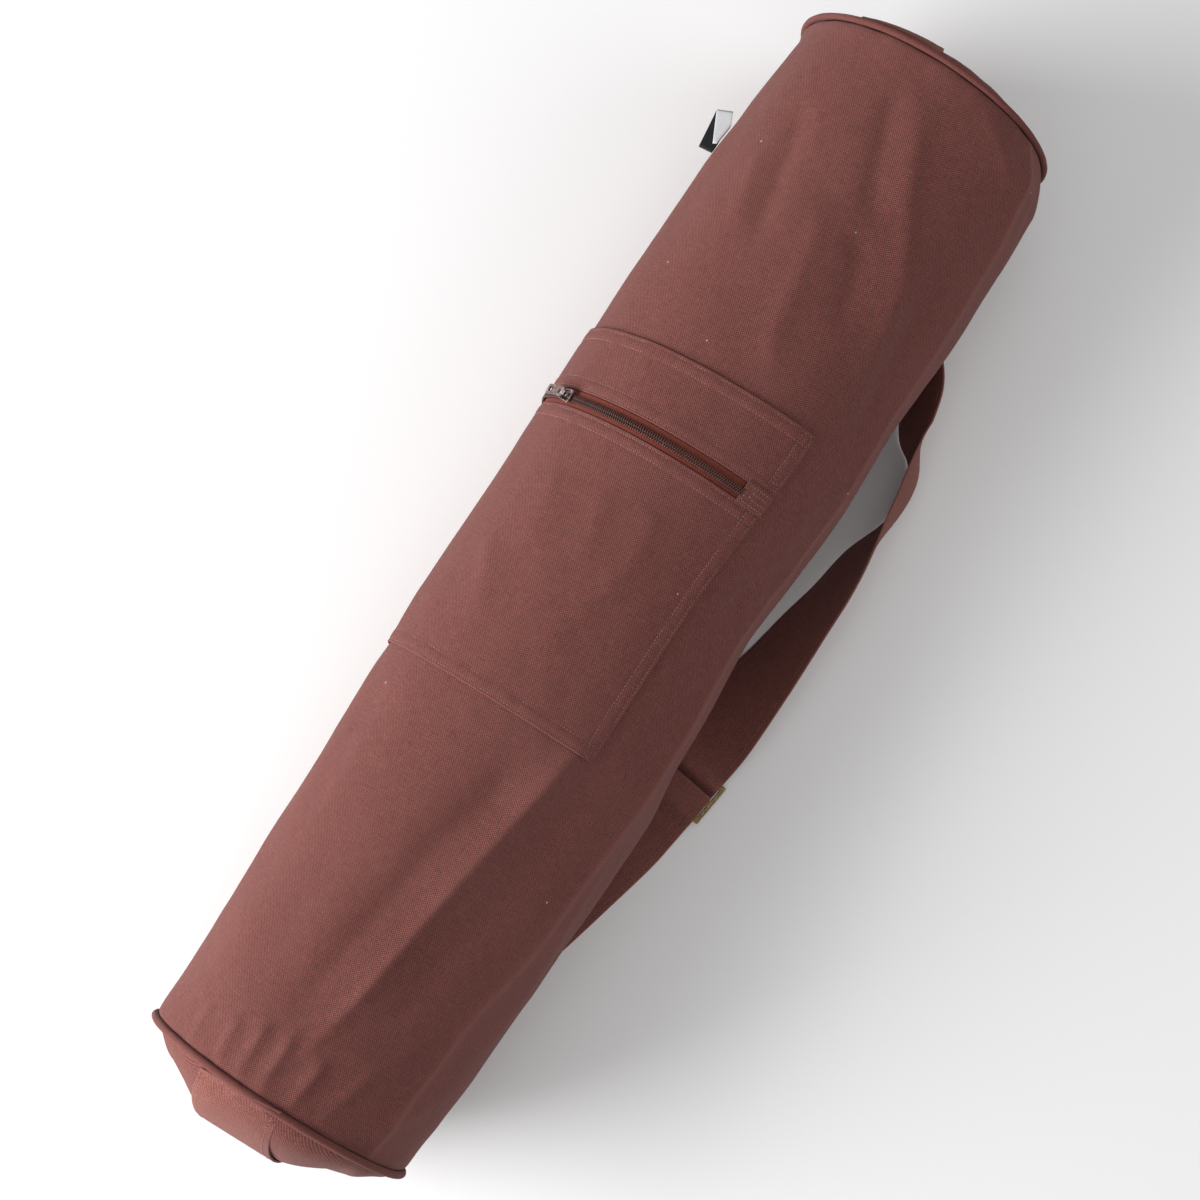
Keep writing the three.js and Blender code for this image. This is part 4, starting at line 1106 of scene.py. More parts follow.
@dataclass
class TubeAndEnds:
    """The soft tube, its two end panels and their piping."""

    shape: TubeShape
    rows: int = 350
    inner_rows: int = 52
    columns: int = 214
    panel_rings: int = 52
    panel_columns: int = 200

    def angles(self, count: int) -> Array:
        """Angles round the tube, closer together above than below."""
        t = np.linspace(0, 1, count + 1)
        return 360 * (t + 0.055 * np.sin(2 * math.pi * t)) - 180

    def tube(self) -> bpy.types.Object:
        """The tube's wall, hollow and open at both ends."""
        end = HALF - TUBE_INSET
        outer = np.sin(np.linspace(-1, 1, self.rows) * math.pi / 2 * 0.92) / math.sin(math.pi / 2 * 0.92)
        outer = end * (0.25 * outer + 0.75 * np.linspace(-1, 1, self.rows))
        inner = np.linspace(end, -end, self.inner_rows)
        x = np.concatenate([outer, inner, outer[:1]])
        out = np.concatenate([np.zeros(self.rows), np.full(self.inner_rows, -CLOTH), [0]])
        angle = self.angles(self.columns)
        near = angle[np.argmin(np.abs(angle - FOLD_COLUMN))]
        fold = eased(np.clip(x / HALF, -1, 1), FOLD_PLACE, FOLD_ANGLE)
        angle = angle + (fold - near)[:, None] * bell((angle - near) / 24)
        rows = self.shape.points(x[:, None], angle, out[:, None])
        uv = np.stack(np.broadcast_arrays(x[:, None], angle * ROUND_MM), axis=-1) * MM
        piece = skin("bag_tube", rows, uv)
        self.wear(piece.data)
        return piece

    @staticmethod
    def wear(mesh: bpy.types.Mesh) -> None:
        """Marks painted light on the sharp fold, partly worn cloth, and on the strip beyond it."""
        spots = np.empty(len(mesh.loops) * 2)
        mesh.uv_layers["cloth"].data.foreach_get("uv", spots)
        x, round_mm = spots[0::2] / MM, spots[1::2] / MM
        beyond = round_mm - eased(np.clip(x / HALF, -1, 1), FOLD_PLACE, FOLD_ANGLE) * ROUND_MM
        # A painted highlight on the fold itself, partly worn cloth, and painted fill light fading over the
        # strip beyond the fold.
        worn = np.exp(-np.abs(beyond) / 1.1) + 0.3 * (beyond > -0.5) * np.exp(-np.maximum(beyond, 0) / 26)
        mesh.attributes.new("worn", "FLOAT", "CORNER").data.foreach_set("value", np.minimum(worn, 1))

    def rim(self, end: int, out: float) -> tuple[Array, Array]:
        """The tube's outline at a seam, with its angles."""
        angle = self.angles(self.panel_columns)
        return self.shape.points(np.full(angle.shape, end * HALF), angle, out, bare=True), angle

    def panel(self, end: int, name: str) -> bpy.types.Object:
        """An end panel, domed, with its cloth gathered a little along its seam."""
        rim, angle = self.rim(end, -PANEL_INSET)
        share = np.concatenate([np.linspace(0, 0.9, self.panel_rings), SEAM_RINGS])
        shares = np.concatenate([share, share[::-1]])
        out = np.concatenate([np.zeros(len(share)), np.full(len(share), -CLOTH)])
        y = rim[None, :, 1] * shares[:, None]
        z = RING_HEIGHT + (rim[None, :, 2] - RING_HEIGHT) * shares[:, None]
        soft = 0.5 * Ripples(21 + end, (26, 26)).at(y, z) + 0.25 * Ripples(31 + end, (11, 11)).at(y, z)
        gathers = Ripples(17 + end, (400, 8)).at(np.zeros_like(y), angle[None, :] * ROUND_MM + 0 * y)
        ring = shares[:, None]
        rise = soft * (1 - ring**6) + 0.7 * gathers * ring**9 * (1 - ring**60)
        if end < 0:
            rise = rise + self.bottom_folds(y, z) * (1 - ring**8)
        x = end * (HALF + CLOTH / 2 + bulge(end, y, z) + out[:, None] + np.minimum(rise, 0.4))
        rows = np.stack([x, y, z], axis=-1)
        return skin(name, rows, np.stack([y, z], axis=-1) * MM)

    @staticmethod
    def bottom_folds(y: Array, z: Array) -> Array:
        """The bottom panel's folds beside its band."""
        right = -1.6 * bell((y + 0.42 * z - 2) / 6) * step(z, 50, 90)
        left = -1.2 * bell((y - 0.3 * z - 26) / 5) * step(z, 60, 100)
        return right + left

    def piping(self, end: int, name: str) -> bpy.types.Object:
        """The covered cord in a seam, a little uneven from its stitching."""
        rim, angle = self.rim(end, 0)
        away = unit(rim - np.array([end * HALF, 0, RING_HEIGHT]))
        turn = np.radians(np.linspace(0, 360, 17))
        uneven = 1 + 0.05 * Ripples(41 + end, (400, 5)).at(np.zeros_like(angle), angle * ROUND_MM)
        uneven = np.minimum(uneven, 1.04) * (PIPING / 2) * PIPING_SHARE[end]
        rows = rim[:, None] + away[:, None] * (np.cos(turn)[None, :, None] * uneven[:, None, None])
        rows = rows + np.array([1, 0, 0]) * (np.sin(turn)[None, :, None] * uneven[:, None, None])
        rows[..., 2] = np.maximum(rows[..., 2], STRAP + 2 * CLEARANCE)
        uv = np.stack(np.broadcast_arrays(angle[:, None] * ROUND_MM, turn[None, :] * PIPING / 2), axis=-1)
        return skin(name, rows, (uv @ np.array([[0.7, 0.7], [-0.7, 0.7]])) * MM)

    def build(self) -> None:
        """Builds and dresses the pieces."""
        canvas, cord = CANVAS.material(), CORD_CLOTH.material()
        dress(self.tube(), canvas, "canvas", "body_tube")
        for end, word in ((1, "top"), (-1, "bottom")):
            dress(self.panel(end, f"bag_{word}_panel"), canvas, "canvas", f"end_panel_{word}")
            dress(self.piping(end, f"bag_{word}_piping"), cord, "piping_canvas", f"piping_{word}")


# The pocket and its zip: places along the tube, sizes and angles round it
POCKET_TOP = 126
POCKET_HEIGHT = 219
BAND_HEIGHT = 43
ZIP_OPENING = 11
POCKET_RIGHT_ANGLE = 34
POCKET_SLANT = 5
POCKET_LEFT_ANGLE = -96
POCKET_LEAN = (2, 4.5, 8.5)
POCKET_CLOTH = 1.15
TAPE = 0.6
COIL_TO_PANEL = 2
COIL_WIDTH = 5
COIL_HEIGHT = 1.8
TAB_LENGTH = 18
TAB_OVERLAP = 1.5
STITCH_INSETS = (1.9, 8.2)
TAB_INSETS = (2.0, 5.2)
HEM_RISE = 0.35
HEM_REACH = (8.6, 9.8)
STITCH_DIP = 0.42
ZIP_SLIDER_ANGLE = -58
ZIP_SLIDER_LENGTH = 11
ZIP_SLIDER_WIDTH = 8.5
ZIP_SLIDER_HEIGHT = 3
PULL_LENGTH = 17
PULL_WIDTH = 6
PULL = 1.2
BAND_LOW = POCKET_TOP - BAND_HEIGHT
PANEL_HIGH = BAND_LOW - ZIP_OPENING
POCKET_BOTTOM = POCKET_TOP - POCKET_HEIGHT
COIL_LOW = SEAT + TAPE + 2 * CLEARANCE
COIL_PLACE = PANEL_HIGH + COIL_TO_PANEL + COIL_WIDTH / 2
DEGREES_A_MM = 1 / ROUND_MM


def right_edge(x: Array) -> Array:
    """The angle of the pocket's right edge at a place along the bag."""
    return POCKET_RIGHT_ANGLE - POCKET_SLANT * (POCKET_TOP - x) / POCKET_HEIGHT


def straight(angle: float) -> Callable[[Array], Array]:
    """An edge at one angle all along."""
    return lambda x: np.full(np.shape(x), angle)


def slanted(x: Array, angle: Array) -> Array:
    """A pocket's place along the bag, lower towards the left as the pocket leans."""
    fall = np.interp(x, (POCKET_BOTTOM, BAND_LOW - ZIP_OPENING / 2, POCKET_TOP), POCKET_LEAN)
    return x - fall * np.clip((POCKET_RIGHT_ANGLE - angle) / (POCKET_RIGHT_ANGLE - POCKET_LEFT_ANGLE), 0, 1)


@dataclass
class Patch:
    """A cloth patch sewn on the tube: its reach along, its angles and its height over it."""

    low: float
    high: float
    left: float
    right: Callable[[Array], Array]
    bottom: float
    thick: float
    rows: tuple[float, ...] = ()
    side_rows: tuple[float, ...] = ()
    spacing: float = 2.0
    hem: float = 1.1
    leans: bool = True

    def along(self, x: Array, angle: Array) -> Array:
        """A place of the patch along the bag."""
        return slanted(x, angle) if self.leans else x + 0 * angle

    def height(self, x: Array, across: Array, edge: Array) -> Array:
        """The height of the upper face, with hems round the border and dips at the stitches.

        Args:
            x: places along the patch.
            across: distances from its right edge.
            edge: distances from its nearest edge.

        Returns:
            The height over the tube in millimetres.
        """
        inward = np.minimum(edge / self.hem, 1)
        round_off = np.sqrt(np.maximum(1 - (1 - inward) ** 2, 0))
        rise = self.thick / 2 * round_off
        if self.rows:
            rise = rise + HEM_RISE * (1 - step(edge, *HEM_REACH)) * round_off
        for row in self.rows:
            ripple = 1 + 0.45 * Ripples(51, (6, 6)).at(across, x)
            rise = rise - STITCH_DIP * bell((x - row) / 1.1) * ripple * inward
        for inset in self.side_rows:
            ripple = 1 + 0.45 * Ripples(52, (6, 6)).at(x, across)
            rise = rise - STITCH_DIP * bell((across - inset) / 1.1) * ripple * inward
        return self.bottom + self.thick / 2 + rise

    def build(self, name: str, shape: TubeShape) -> bpy.types.Object:
        """Builds the patch as a thin closed sheet."""
        x, x_edge = with_hems(self.low, self.high, self.spacing, self.hem)
        width = (float(np.max(self.right(x))) - self.left) * ROUND_MM
        s, s_edge = with_hems(0, width, self.spacing, self.hem)
        share = s / width
        right = self.right(x)
        angle = self.left + (right[None, :] - self.left) * share[:, None]
        flat_x = np.broadcast_to(x[None, :], angle.shape)
        places = self.along(flat_x, angle)
        edge = np.minimum(s_edge[:, None], x_edge[None, :])
        across = (width - s)[:, None] + 0 * places
        upper = shape.points(places, angle, self.height(flat_x, across, edge))
        flat = np.minimum(edge / self.hem, 1)
        under = self.bottom + self.thick / 2 * (1 - np.sqrt(np.maximum(1 - (1 - flat) ** 2, 0)))
        lower = shape.points(places, angle, under)
        uv = np.stack([s[:, None] + 0 * places, flat_x], axis=-1) * MM
        return pillow(name, upper, lower, uv)

    def stitch(self, shape: TubeShape, thread: Stitching) -> None:
        """Lays thread along the patch's rows."""
        for row in self.rows:
            right = float(self.right(np.array(row))) - 1.6 * DEGREES_A_MM
            angle = np.arange(self.left + 1.5, right, 0.4)
            out = self.bottom + self.thick * 0.86
            p, _, _, normal = shape.frame(self.along(np.full(angle.shape, float(row)), angle), angle, out)
            thread.row(p, normal)
        for inset in self.side_rows:
            x = np.arange(self.low + 1.4, self.high - 1.2, 0.7)
            angle = self.right(x) - inset * DEGREES_A_MM
            p, _, _, normal = shape.frame(self.along(x, angle), angle, self.bottom + self.thick * 0.86)
            thread.row(p, normal)


@dataclass
class PocketAndZip:
    """The patch pocket in two parts with the zip between them."""

    shape: TubeShape
    tooth_pitch: float = 1.36
    tooth: tuple[float, float, float] = (0.86, 2.7, 1.5)

    def place_at(self, angle: float, out: float) -> Matrix:
        """A frame on the zip's line."""
        return self.shape.matrix(float(slanted(np.array(COIL_PLACE), np.array(angle))), angle, out)

    def cloth(self, thread: Stitching) -> None:
        """The band above the zip, the panel below it and the tab on the zip's end."""
        canvas = CANVAS.material()
        for low, high, name, node in (
            (BAND_LOW, POCKET_TOP, "pocket_upper_band", "pocket_band"),
            (POCKET_BOTTOM, PANEL_HIGH, "pocket_lower_panel", "pocket_panel"),
        ):
            rows = (*(high - inset for inset in STITCH_INSETS), *(low + inset for inset in STITCH_INSETS))
            patch = Patch(low, high, POCKET_LEFT_ANGLE, right_edge, SEAT, POCKET_CLOTH, rows,
                          STITCH_INSETS, spacing=1.05)
            dress(patch.build(name, self.shape), canvas, "canvas", node)
            patch.stitch(self.shape, thread)
        right = float(right_edge(np.array(BAND_LOW)))
        tab_left = right - TAB_LENGTH * DEGREES_A_MM
        low = SEAT + POCKET_CLOTH + CLEARANCE
        tab = Patch(PANEL_HIGH - TAB_OVERLAP, BAND_LOW + TAB_OVERLAP, tab_left, straight(right), low,
                    POCKET_CLOTH * 0.8, spacing=1.2, hem=0.9)
        dress(tab.build("zip_cloth_tab", self.shape), canvas, "canvas", "zip_end_tab")
        self.tab_stitches(tab, tab_left, right, thread)

    def tab_stitches(self, tab: Patch, left: float, right: float, thread: Stitching) -> None:
        """Two nested rows of thread round three sides of the tab."""
        for inset in TAB_INSETS:
            low, high = tab.low + inset, tab.high - inset
            near = left + inset * DEGREES_A_MM
            corners = [(low, right - 0.8), (low, near), (high, near), (high, right - 0.8)]
            for (x0, a0), (x1, a1) in zip(corners, corners[1:]):
                t = np.linspace(0, 1, 24)
                x, angle = x0 + (x1 - x0) * t, a0 + (a1 - a0) * t
                p, _, _, normal = self.shape.frame(tab.along(x, angle), angle, tab.bottom + tab.thick * 0.96)
                thread.row(p, normal)

    def tape(self) -> None:
        """The zip's ribbed tape."""
        right = float(right_edge(np.array(BAND_LOW)))
        patch = Patch(PANEL_HIGH + CLEARANCE, BAND_LOW - CLEARANCE, POCKET_LEFT_ANGLE, straight(right),
                      SEAT, TAPE, spacing=1.2, hem=0.4)
        dress(patch.build("pocket_zip_tape", self.shape), TAPE_CLOTH.material(), "zip_tape", "zip_tape")

    def coil(self) -> None:
        """The coil's teeth, turn by turn, on both sides of their line."""
        right = float(right_edge(np.array(BAND_LOW))) - (TAB_LENGTH - 1) * DEGREES_A_MM
        angle = np.arange(POCKET_LEFT_ANGLE + 0.6, right, self.tooth_pitch / 2 * DEGREES_A_MM)
        x = slanted(np.full(angle.shape, COIL_PLACE), angle)
        frames = self.shape.axes(x, angle, COIL_LOW + COIL_HEIGHT / 2)
        teeth = build_teeth("pocket_zip_teeth", frames, self.tooth, along_bag=False)
        dress(teeth, COIL.material(), "zip_coil", "zip_coil")

    def slider(self) -> None:
        """The zip's slider: a tapered body with raised flanks and a bridge for the pull."""
        low = COIL_LOW + COIL_HEIGHT + CLEARANCE
        bm = bmesh.new()
        plate = bmesh.ops.create_cube(bm, size=1.0)["verts"]
        bmesh.ops.scale(bm, verts=plate, vec=(ZIP_SLIDER_LENGTH, ZIP_SLIDER_WIDTH, 1.5))
        for v in plate:
            v.co.y *= 0.62 if v.co.x > 0 else 1.0
        bmesh.ops.translate(bm, verts=plate, vec=(0, 0, 0.75))
        for side in (-1, 1):
            flank = bmesh.ops.create_cube(bm, size=1.0)["verts"]
            bmesh.ops.scale(bm, verts=flank, vec=(ZIP_SLIDER_LENGTH * 0.9, 1.1, 0.9))
            for v in flank:
                v.co.y += side * (ZIP_SLIDER_WIDTH / 2 - 0.7) * (0.62 if v.co.x > 0 else 1.0)
                v.co.z += 1.6
        bridge = bmesh.ops.create_cube(bm, size=1.0)["verts"]
        bmesh.ops.scale(bm, verts=bridge, vec=(6.4, 2.2, 1.3))
        bmesh.ops.translate(bm, verts=bridge, vec=(-0.4, 0, ZIP_SLIDER_HEIGHT - 0.65))
        rounded(bm, bm.edges[:], 0.42, 3)
        mesh = finished("pocket_zip_slider", bm, self.place_at(ZIP_SLIDER_ANGLE, low))
        dress(mesh, NICKEL.material(), "zip_metal", "zip_slider")

    def pull(self) -> None:
        """The zip's pull: a rounded plate with a slot at its free end."""
        slider_half = ZIP_SLIDER_LENGTH / 2
        reach = PULL_LENGTH + slider_half / 2
        low = COIL_LOW + COIL_HEIGHT + ZIP_SLIDER_HEIGHT + 2 * CLEARANCE
        bm = frame_plate(
            (-slider_half / 2, 0.4, 2.2, PULL_LENGTH - 7.5, PULL_LENGTH - 2.2, PULL_LENGTH),
            (-PULL_WIDTH / 2, -PULL_WIDTH / 2 + 1.6, PULL_WIDTH / 2 - 1.6, PULL_WIDTH / 2),
            PULL, ((1, 1), (3, 1)), 2.4, 0.28)
        middle = ZIP_SLIDER_ANGLE - (reach / 2 - slider_half / 2) * DEGREES_A_MM
        place = self.place_at(middle, low + PULL / 2 + 0.15)
        shift = Matrix.Translation((-(PULL_LENGTH - slider_half / 2) / 2, 0, 0))
        mesh = finished("pocket_zip_pull", bm, place @ shift)
        dress(mesh, NICKEL.material(), "zip_metal", "zip_pull")

    def build(self, thread: Stitching) -> None:
        """Builds and dresses the pieces."""
        self.cloth(thread)
        self.tape()
        self.coil()
        self.slider()
        self.pull()


def finished(name: str, bm: bmesh.types.BMesh, place: Matrix) -> bpy.types.Object:
    """A piece from a mesh in millimetres, put in its place and turned the right way out."""
    bmesh.ops.transform(bm, matrix=Matrix.Scale(MM, 4) @ place, verts=bm.verts)
    bmesh.ops.recalc_face_normals(bm, faces=bm.faces)
    mesh = bpy.data.meshes.new(name)
    bm.to_mesh(mesh)
    bm.free()
    mesh.shade_smooth()
    return new_object(name, mesh)


def frame_plate(
    columns: Sequence[float], lines: Sequence[float], thick: float, holes: Sequence[tuple[int, int]],
    corner: float, edge: float,
) -> bmesh.types.BMesh:
    """A flat plate with holes between some of its cut lines, with rounded corners and edges.

    Args:
        columns: cut lines along the plate.
        lines: cut lines across it.
        thick: its thickness.
        holes: the cells left open, as column and line numbers.
        corner: the rounding of its outer corners.
        edge: the rounding of its edges.

    Returns:
        The mesh, lying in its own frame.
    """
    bm = bmesh.new()
    nx, ny = len(columns) - 1, len(lines) - 1
    bmesh.ops.create_grid(bm, x_segments=nx, y_segments=ny, size=1.0)
    cells = {}
    for f in bm.faces:
        middle = f.calc_center_median()
        cells[int((middle.x + 1) / 2 * nx), int((middle.y + 1) / 2 * ny)] = f
    for v in bm.verts:
        i, j = round((v.co.x + 1) / 2 * nx), round((v.co.y + 1) / 2 * ny)
        v.co = Vector((columns[i], lines[j], -thick / 2))
    bmesh.ops.delete(bm, geom=[cells[h] for h in holes], context="FACES")
    raised = bmesh.ops.extrude_face_region(bm, geom=bm.faces[:])["geom"]
    bmesh.ops.translate(bm, verts=[g for g in raised if isinstance(g, bmesh.types.BMVert)], vec=(0, 0, thick))
    bmesh.ops.recalc_face_normals(bm, faces=bm.faces)
    upright = [e for e in bm.edges if abs(e.verts[0].co.z - e.verts[1].co.z) > thick / 2]
    ends_x, ends_y = (columns[0], columns[-1]), (lines[0], lines[-1])
    outer = [e for e in upright if e.verts[0].co.x in ends_x and e.verts[0].co.y in ends_y]
    inner = [e for e in upright if e not in outer and e.calc_face_angle(0) > 1.2]
    rounded(bm, outer, corner, 5)
    rounded(bm, [e for e in inner if e.is_valid], 0.5, 2)
    rounded(bm, [e for e in bm.edges if e.calc_face_angle(0) > 0.9], edge, 3)
    return bm


def build_teeth(
    name: str, frames: Array, size: tuple[float, float, float], along_bag: bool
) -> bpy.types.Object:
    """A zip's teeth, by turns on either side of their line.

    Args:
        name: the piece's name.
        frames: a frame on the tube for each tooth.
        size: a tooth's size along the line, across it and up.
        along_bag: whether the line runs along the bag.

    Returns:
        The piece.
    """
    bm = bmesh.new()
    bmesh.ops.create_cube(bm, size=1.0)
    rounded(bm, bm.edges[:], 0.3, 2)
    bmesh.ops.triangulate(bm, faces=bm.faces)
    tooth, faces = taken(bm)
    spots = np.repeat((tooth * np.array(size))[None], len(frames), axis=0)
    spots[..., 1] += np.where(np.arange(len(frames)) % 2, 1, -1)[:, None] * size[1] * 0.36
    if along_bag:
        spots = spots[..., [1, 0, 2]] * np.array([-1, 1, 1])
    return copies(name, spots, faces, frames)


@dataclass
class Webbing:
    """A flat sewn strap along stations, with rounded edges and stitched sides."""

    line: Array
    spacing: float = 2.4
    inset: float = 4.0
    edge_turns: int = 4
    bow: float = 0.0

    def stations(self) -> tuple[Array, Array, Array]:
        """Points, edges and normals along the strap, close together."""
        made = curve_through(np.concatenate([self.line[:, :3], unit(self.line[:, 3:])], axis=1), self.spacing)
        points, edge = made[:, :3], made[:, 3:]
        along = unit(np.gradient(points, axis=0))
        edge = unit(edge - along * np.sum(edge * along, axis=1, keepdims=True))
        return points, edge, unit(np.cross(along, edge))

    def profile(self) -> Array:
        """The strap's section: side and height in millimetres, once round."""
        half, turn = STRAP_WIDTH / 2, STRAP / 2
        flat = np.linspace(-half + turn, half - turn, 15)
        arc = np.radians(np.linspace(-90, 90, self.edge_turns + 2)[1:-1])
        right = [(half - turn + turn * math.cos(a), turn * math.sin(a)) for a in arc]
        left = [(-s, -h) for s, h in right]
        under = [(s, -turn) for s in flat]
        over = [(s, turn) for s in flat[::-1]]
        return np.array([*under, *right, *over, *left, under[0]])

    @staticmethod
    def over_end(rows: Array, middle: Array) -> Array:
        """Lays the band that crosses an end panel on its dome and up to its curved seam.

        Args:
            rows: the strap's points, a row for each station.
            middle: each station's place along the bag.

        Returns:
            The points as laid.
        """
        end = 1 if middle[0] > 0 else -1
        x, y, z = rows[..., 0] * end, rows[..., 1], rows[..., 2]
        start = RING_HEIGHT + RING_RADIUS * 0.95 - PIPING
        band = middle[:, None] * end > HALF + CLOTH
        rim = RING_HEIGHT + np.sqrt((RING_RADIUS - 1.2) ** 2 - np.clip(y, -60, 60) ** 2)
        share = np.clip((start - z) / (start - PIPING * 2), 0, 1)
        z = np.where(band, z + (rim - start) * (1 - share) ** 2, z)
        laid = HALF + CLOTH / 2 + CLEARANCE + STRAP / 2 + bulge(end, y, z) + (x - middle[:, None] * end)
        laid = laid + 0.3 - (1 - step(rim - z, 0, 2.5)) * 1.5
        settled = step(share, 0.7, 0.95)
        x = np.where(band, laid * (1 - settled) + x * settled, x)
        return np.stack([x * end, y, z], axis=-1)

    def surface(self, side: Array, height: Array) -> tuple[Array, Array]:
        """Points of the strap, bowed across where it stands beside the bag.

        Args:
            side: distances from its middle line.
            height: heights over it.

        Returns:
            The points, and the strap's normals.
        """
        points, edge, normal = self.stations()
        rows = points[:, None] + edge[:, None] * side[None, :, None] + normal[:, None] * height[..., None]
        x = points[:, 0]
        bow = self.bow * step(-x, -188, -166) * (1 - 0.8 * step(-x, -135, -70)) * (1 - step(-x, -60, -10))
        away = np.gradient(points, axis=0)[:, [1, 0, 2]] * np.array([-1, 1, 0])
        away = unit(away) * np.where(away[:, 1:2] > 0, 1, -1)
        rows = rows + away[:, None] * (bow[:, None] * (side / STRAP_WIDTH * 2)[None, :] ** 2)[..., None]
        return self.over_end(rows, x), normal

    def build(self, name: str) -> bpy.types.Object:
        """Builds the strap's surface."""
        points = self.stations()[0]
        section = self.profile()
        lengths = lengths_along(points)
        side, height = section[:, 0], section[:, 1]
        dip = bell((np.abs(side) - (STRAP_WIDTH / 2 - self.inset)) / 1.2)
        soft = 1 + 0.25 * Ripples(61, (7, 7)).at(lengths[:, None], side[None, :])
        height = np.sign(height) * (np.abs(height) - 0.18 * dip * soft * (np.abs(height) > 0.7))
        rows, _ = self.surface(side, height)
        middle, _ = self.surface(side, 0 * height)
        rows = np.concatenate([middle[:1], rows, middle[-1:]])
        round_mm = lengths_along(section)
        u = np.concatenate([[0], lengths, lengths[-1:]])
        uv = np.stack(np.broadcast_arrays(u[:, None], round_mm[None, :]), axis=-1) * MM
        return skin(name, rows, uv)

    def stitch(self, thread: Stitching, start: float = 0.0, end: float = 1e9) -> None:
        """Lays thread along both sides, on both faces."""
        points = self.stations()[0]
        lengths = lengths_along(points)
        kept = (lengths >= start) & (lengths <= end)
        for side in (-1, 1):
            for face in (-1, 1):
                at = np.array([side * (STRAP_WIDTH / 2 - self.inset)])
                rows, normal = self.surface(at, np.full((len(points), 1), face * (STRAP / 2 - 0.16)))
                thread.row(rows[kept, 0], (normal * face)[kept])

    def cross_row(self, at: int, thread: Stitching, face: int, shift: float) -> None:
        """Lays a row of thread across the strap near a station of its line."""
        middle = self.line[at, :3]
        edge = unit(self.line[at, 3:])
        side = np.linspace(-STRAP_WIDTH / 2 + 3, STRAP_WIDTH / 2 - 3, 60)
        up = np.array([0, 0, float(face)])
        along = unit(np.cross(up, edge))
        row = middle + edge * side[:, None] + up * (STRAP / 2 - 0.05) + along * shift
        thread.row(row, np.tile(up, (60, 1)))


@dataclass
class StrapAndFittings:
    """The shoulder strap, its anchor, its slider and the hidden ring."""

    strap_line: Array
    anchor_line: Array

    @staticmethod
    def fitting(
        name: str, frame: FittingFrame, bars: int, bar: float, length: float, side: float, high: float
    ) -> bpy.types.Object:
        """A flat frame with equal bars across it.

        Args:
            name: the piece's name.
            frame: where it lies.
            bars: how many bars it has.
            bar: the width of a bar.
            length: the frame's length along the strap.
            side: the width of its sides.
            high: its height.

        Returns:
            The piece.
        """
        slot = STRAP_WIDTH + 2 * FITTING_SIDE
        room = (length - bars * bar) / (bars - 1)
        columns = [-length / 2]
        for k in range(bars):
            columns.append(columns[-1] + bar)
            if k < bars - 1:
                columns.append(columns[-1] + room)
        lines = (-slot / 2 - side, -slot / 2, slot / 2, slot / 2 + side)
        holes = [(2 * k + 1, 1) for k in range(bars - 1)]
        bm = frame_plate(columns, lines, high, holes, side * 0.95, min(high, bar) * 0.3)
        turn = Matrix.Rotation(math.radians(frame.heading - 90), 4, "Z")
        return finished(name, bm, Matrix.Translation(frame.middle.tolist()) @ turn)

    def build(self, thread: Stitching) -> None:
        """Builds and dresses the pieces."""
        cloth, brass = WEBBING_PAINTED_LIGHT.material(), BRASS.material()
        strap, anchor = Webbing(self.strap_line, bow=5.2), Webbing(self.anchor_line)
        dress(strap.build("shoulder_strap"), cloth, "canvas", "strap")
        dress(anchor.build("strap_floor_anchor"), cloth, "canvas", "strap_anchor")
        strap.stitch(thread, start=6)
        anchor.stitch(thread, start=6)
        for shift in (6.0, 13.0):
            strap.cross_row(len(self.strap_line) - 1, thread, 1, shift)
        slider = self.fitting(
            "strap_slide_buckle", SLIDER, 3, BAR_WIDTH, SLIDER_LENGTH, SLIDER_SIDE, BAR_HEIGHT)
        dress(slider, brass, "strap_metal", "strap_slider")
        ring = self.fitting("strap_floor_ring", RING, 2, RING_WIRE, RING_DEPTH, RING_WIRE, RING_WIRE)
        dress(ring, brass, "strap_metal", "strap_ring")


@dataclass
class ClosingZip:
    """The long zip on the hidden side that closes the bag."""

    shape: TubeShape
    length: float = 560
    width: float = 24
    angle: float = -128

    def build(self, thread: Stitching) -> None:
        """Builds and dresses the tape and its teeth."""
        half = self.width / 2 * DEGREES_A_MM
        patch = Patch(-self.length / 2, self.length / 2, self.angle - half, straight(self.angle + half),
                      SEAT, CLOTH, spacing=2.4, hem=0.8, leans=False)
        dress(patch.build("closing_zip_tape", self.shape), HIDDEN_TAPE.material(), "zip_tape", "closing_zip")
        x = np.arange(-self.length / 2 + 4, self.length / 2 - 4, 1.1)
        frames = self.shape.axes(x, np.full(x.shape, self.angle), SEAT + CLOTH)
        teeth = build_teeth("closing_zip_teeth", frames, (1.4, 2.9, 1.0), along_bag=True)
        dress(teeth, COIL.material(), "zip_coil")
        for side in (-1, 1):
            x = np.arange(-self.length / 2 + 3, self.length / 2 - 3, 1.0)
            angle = self.angle + side * (half - 2 * DEGREES_A_MM)
            p, _, _, normal = self.shape.frame(x, np.full(x.shape, angle), SEAT + CLOTH * 0.9)
            thread.row(p, normal)


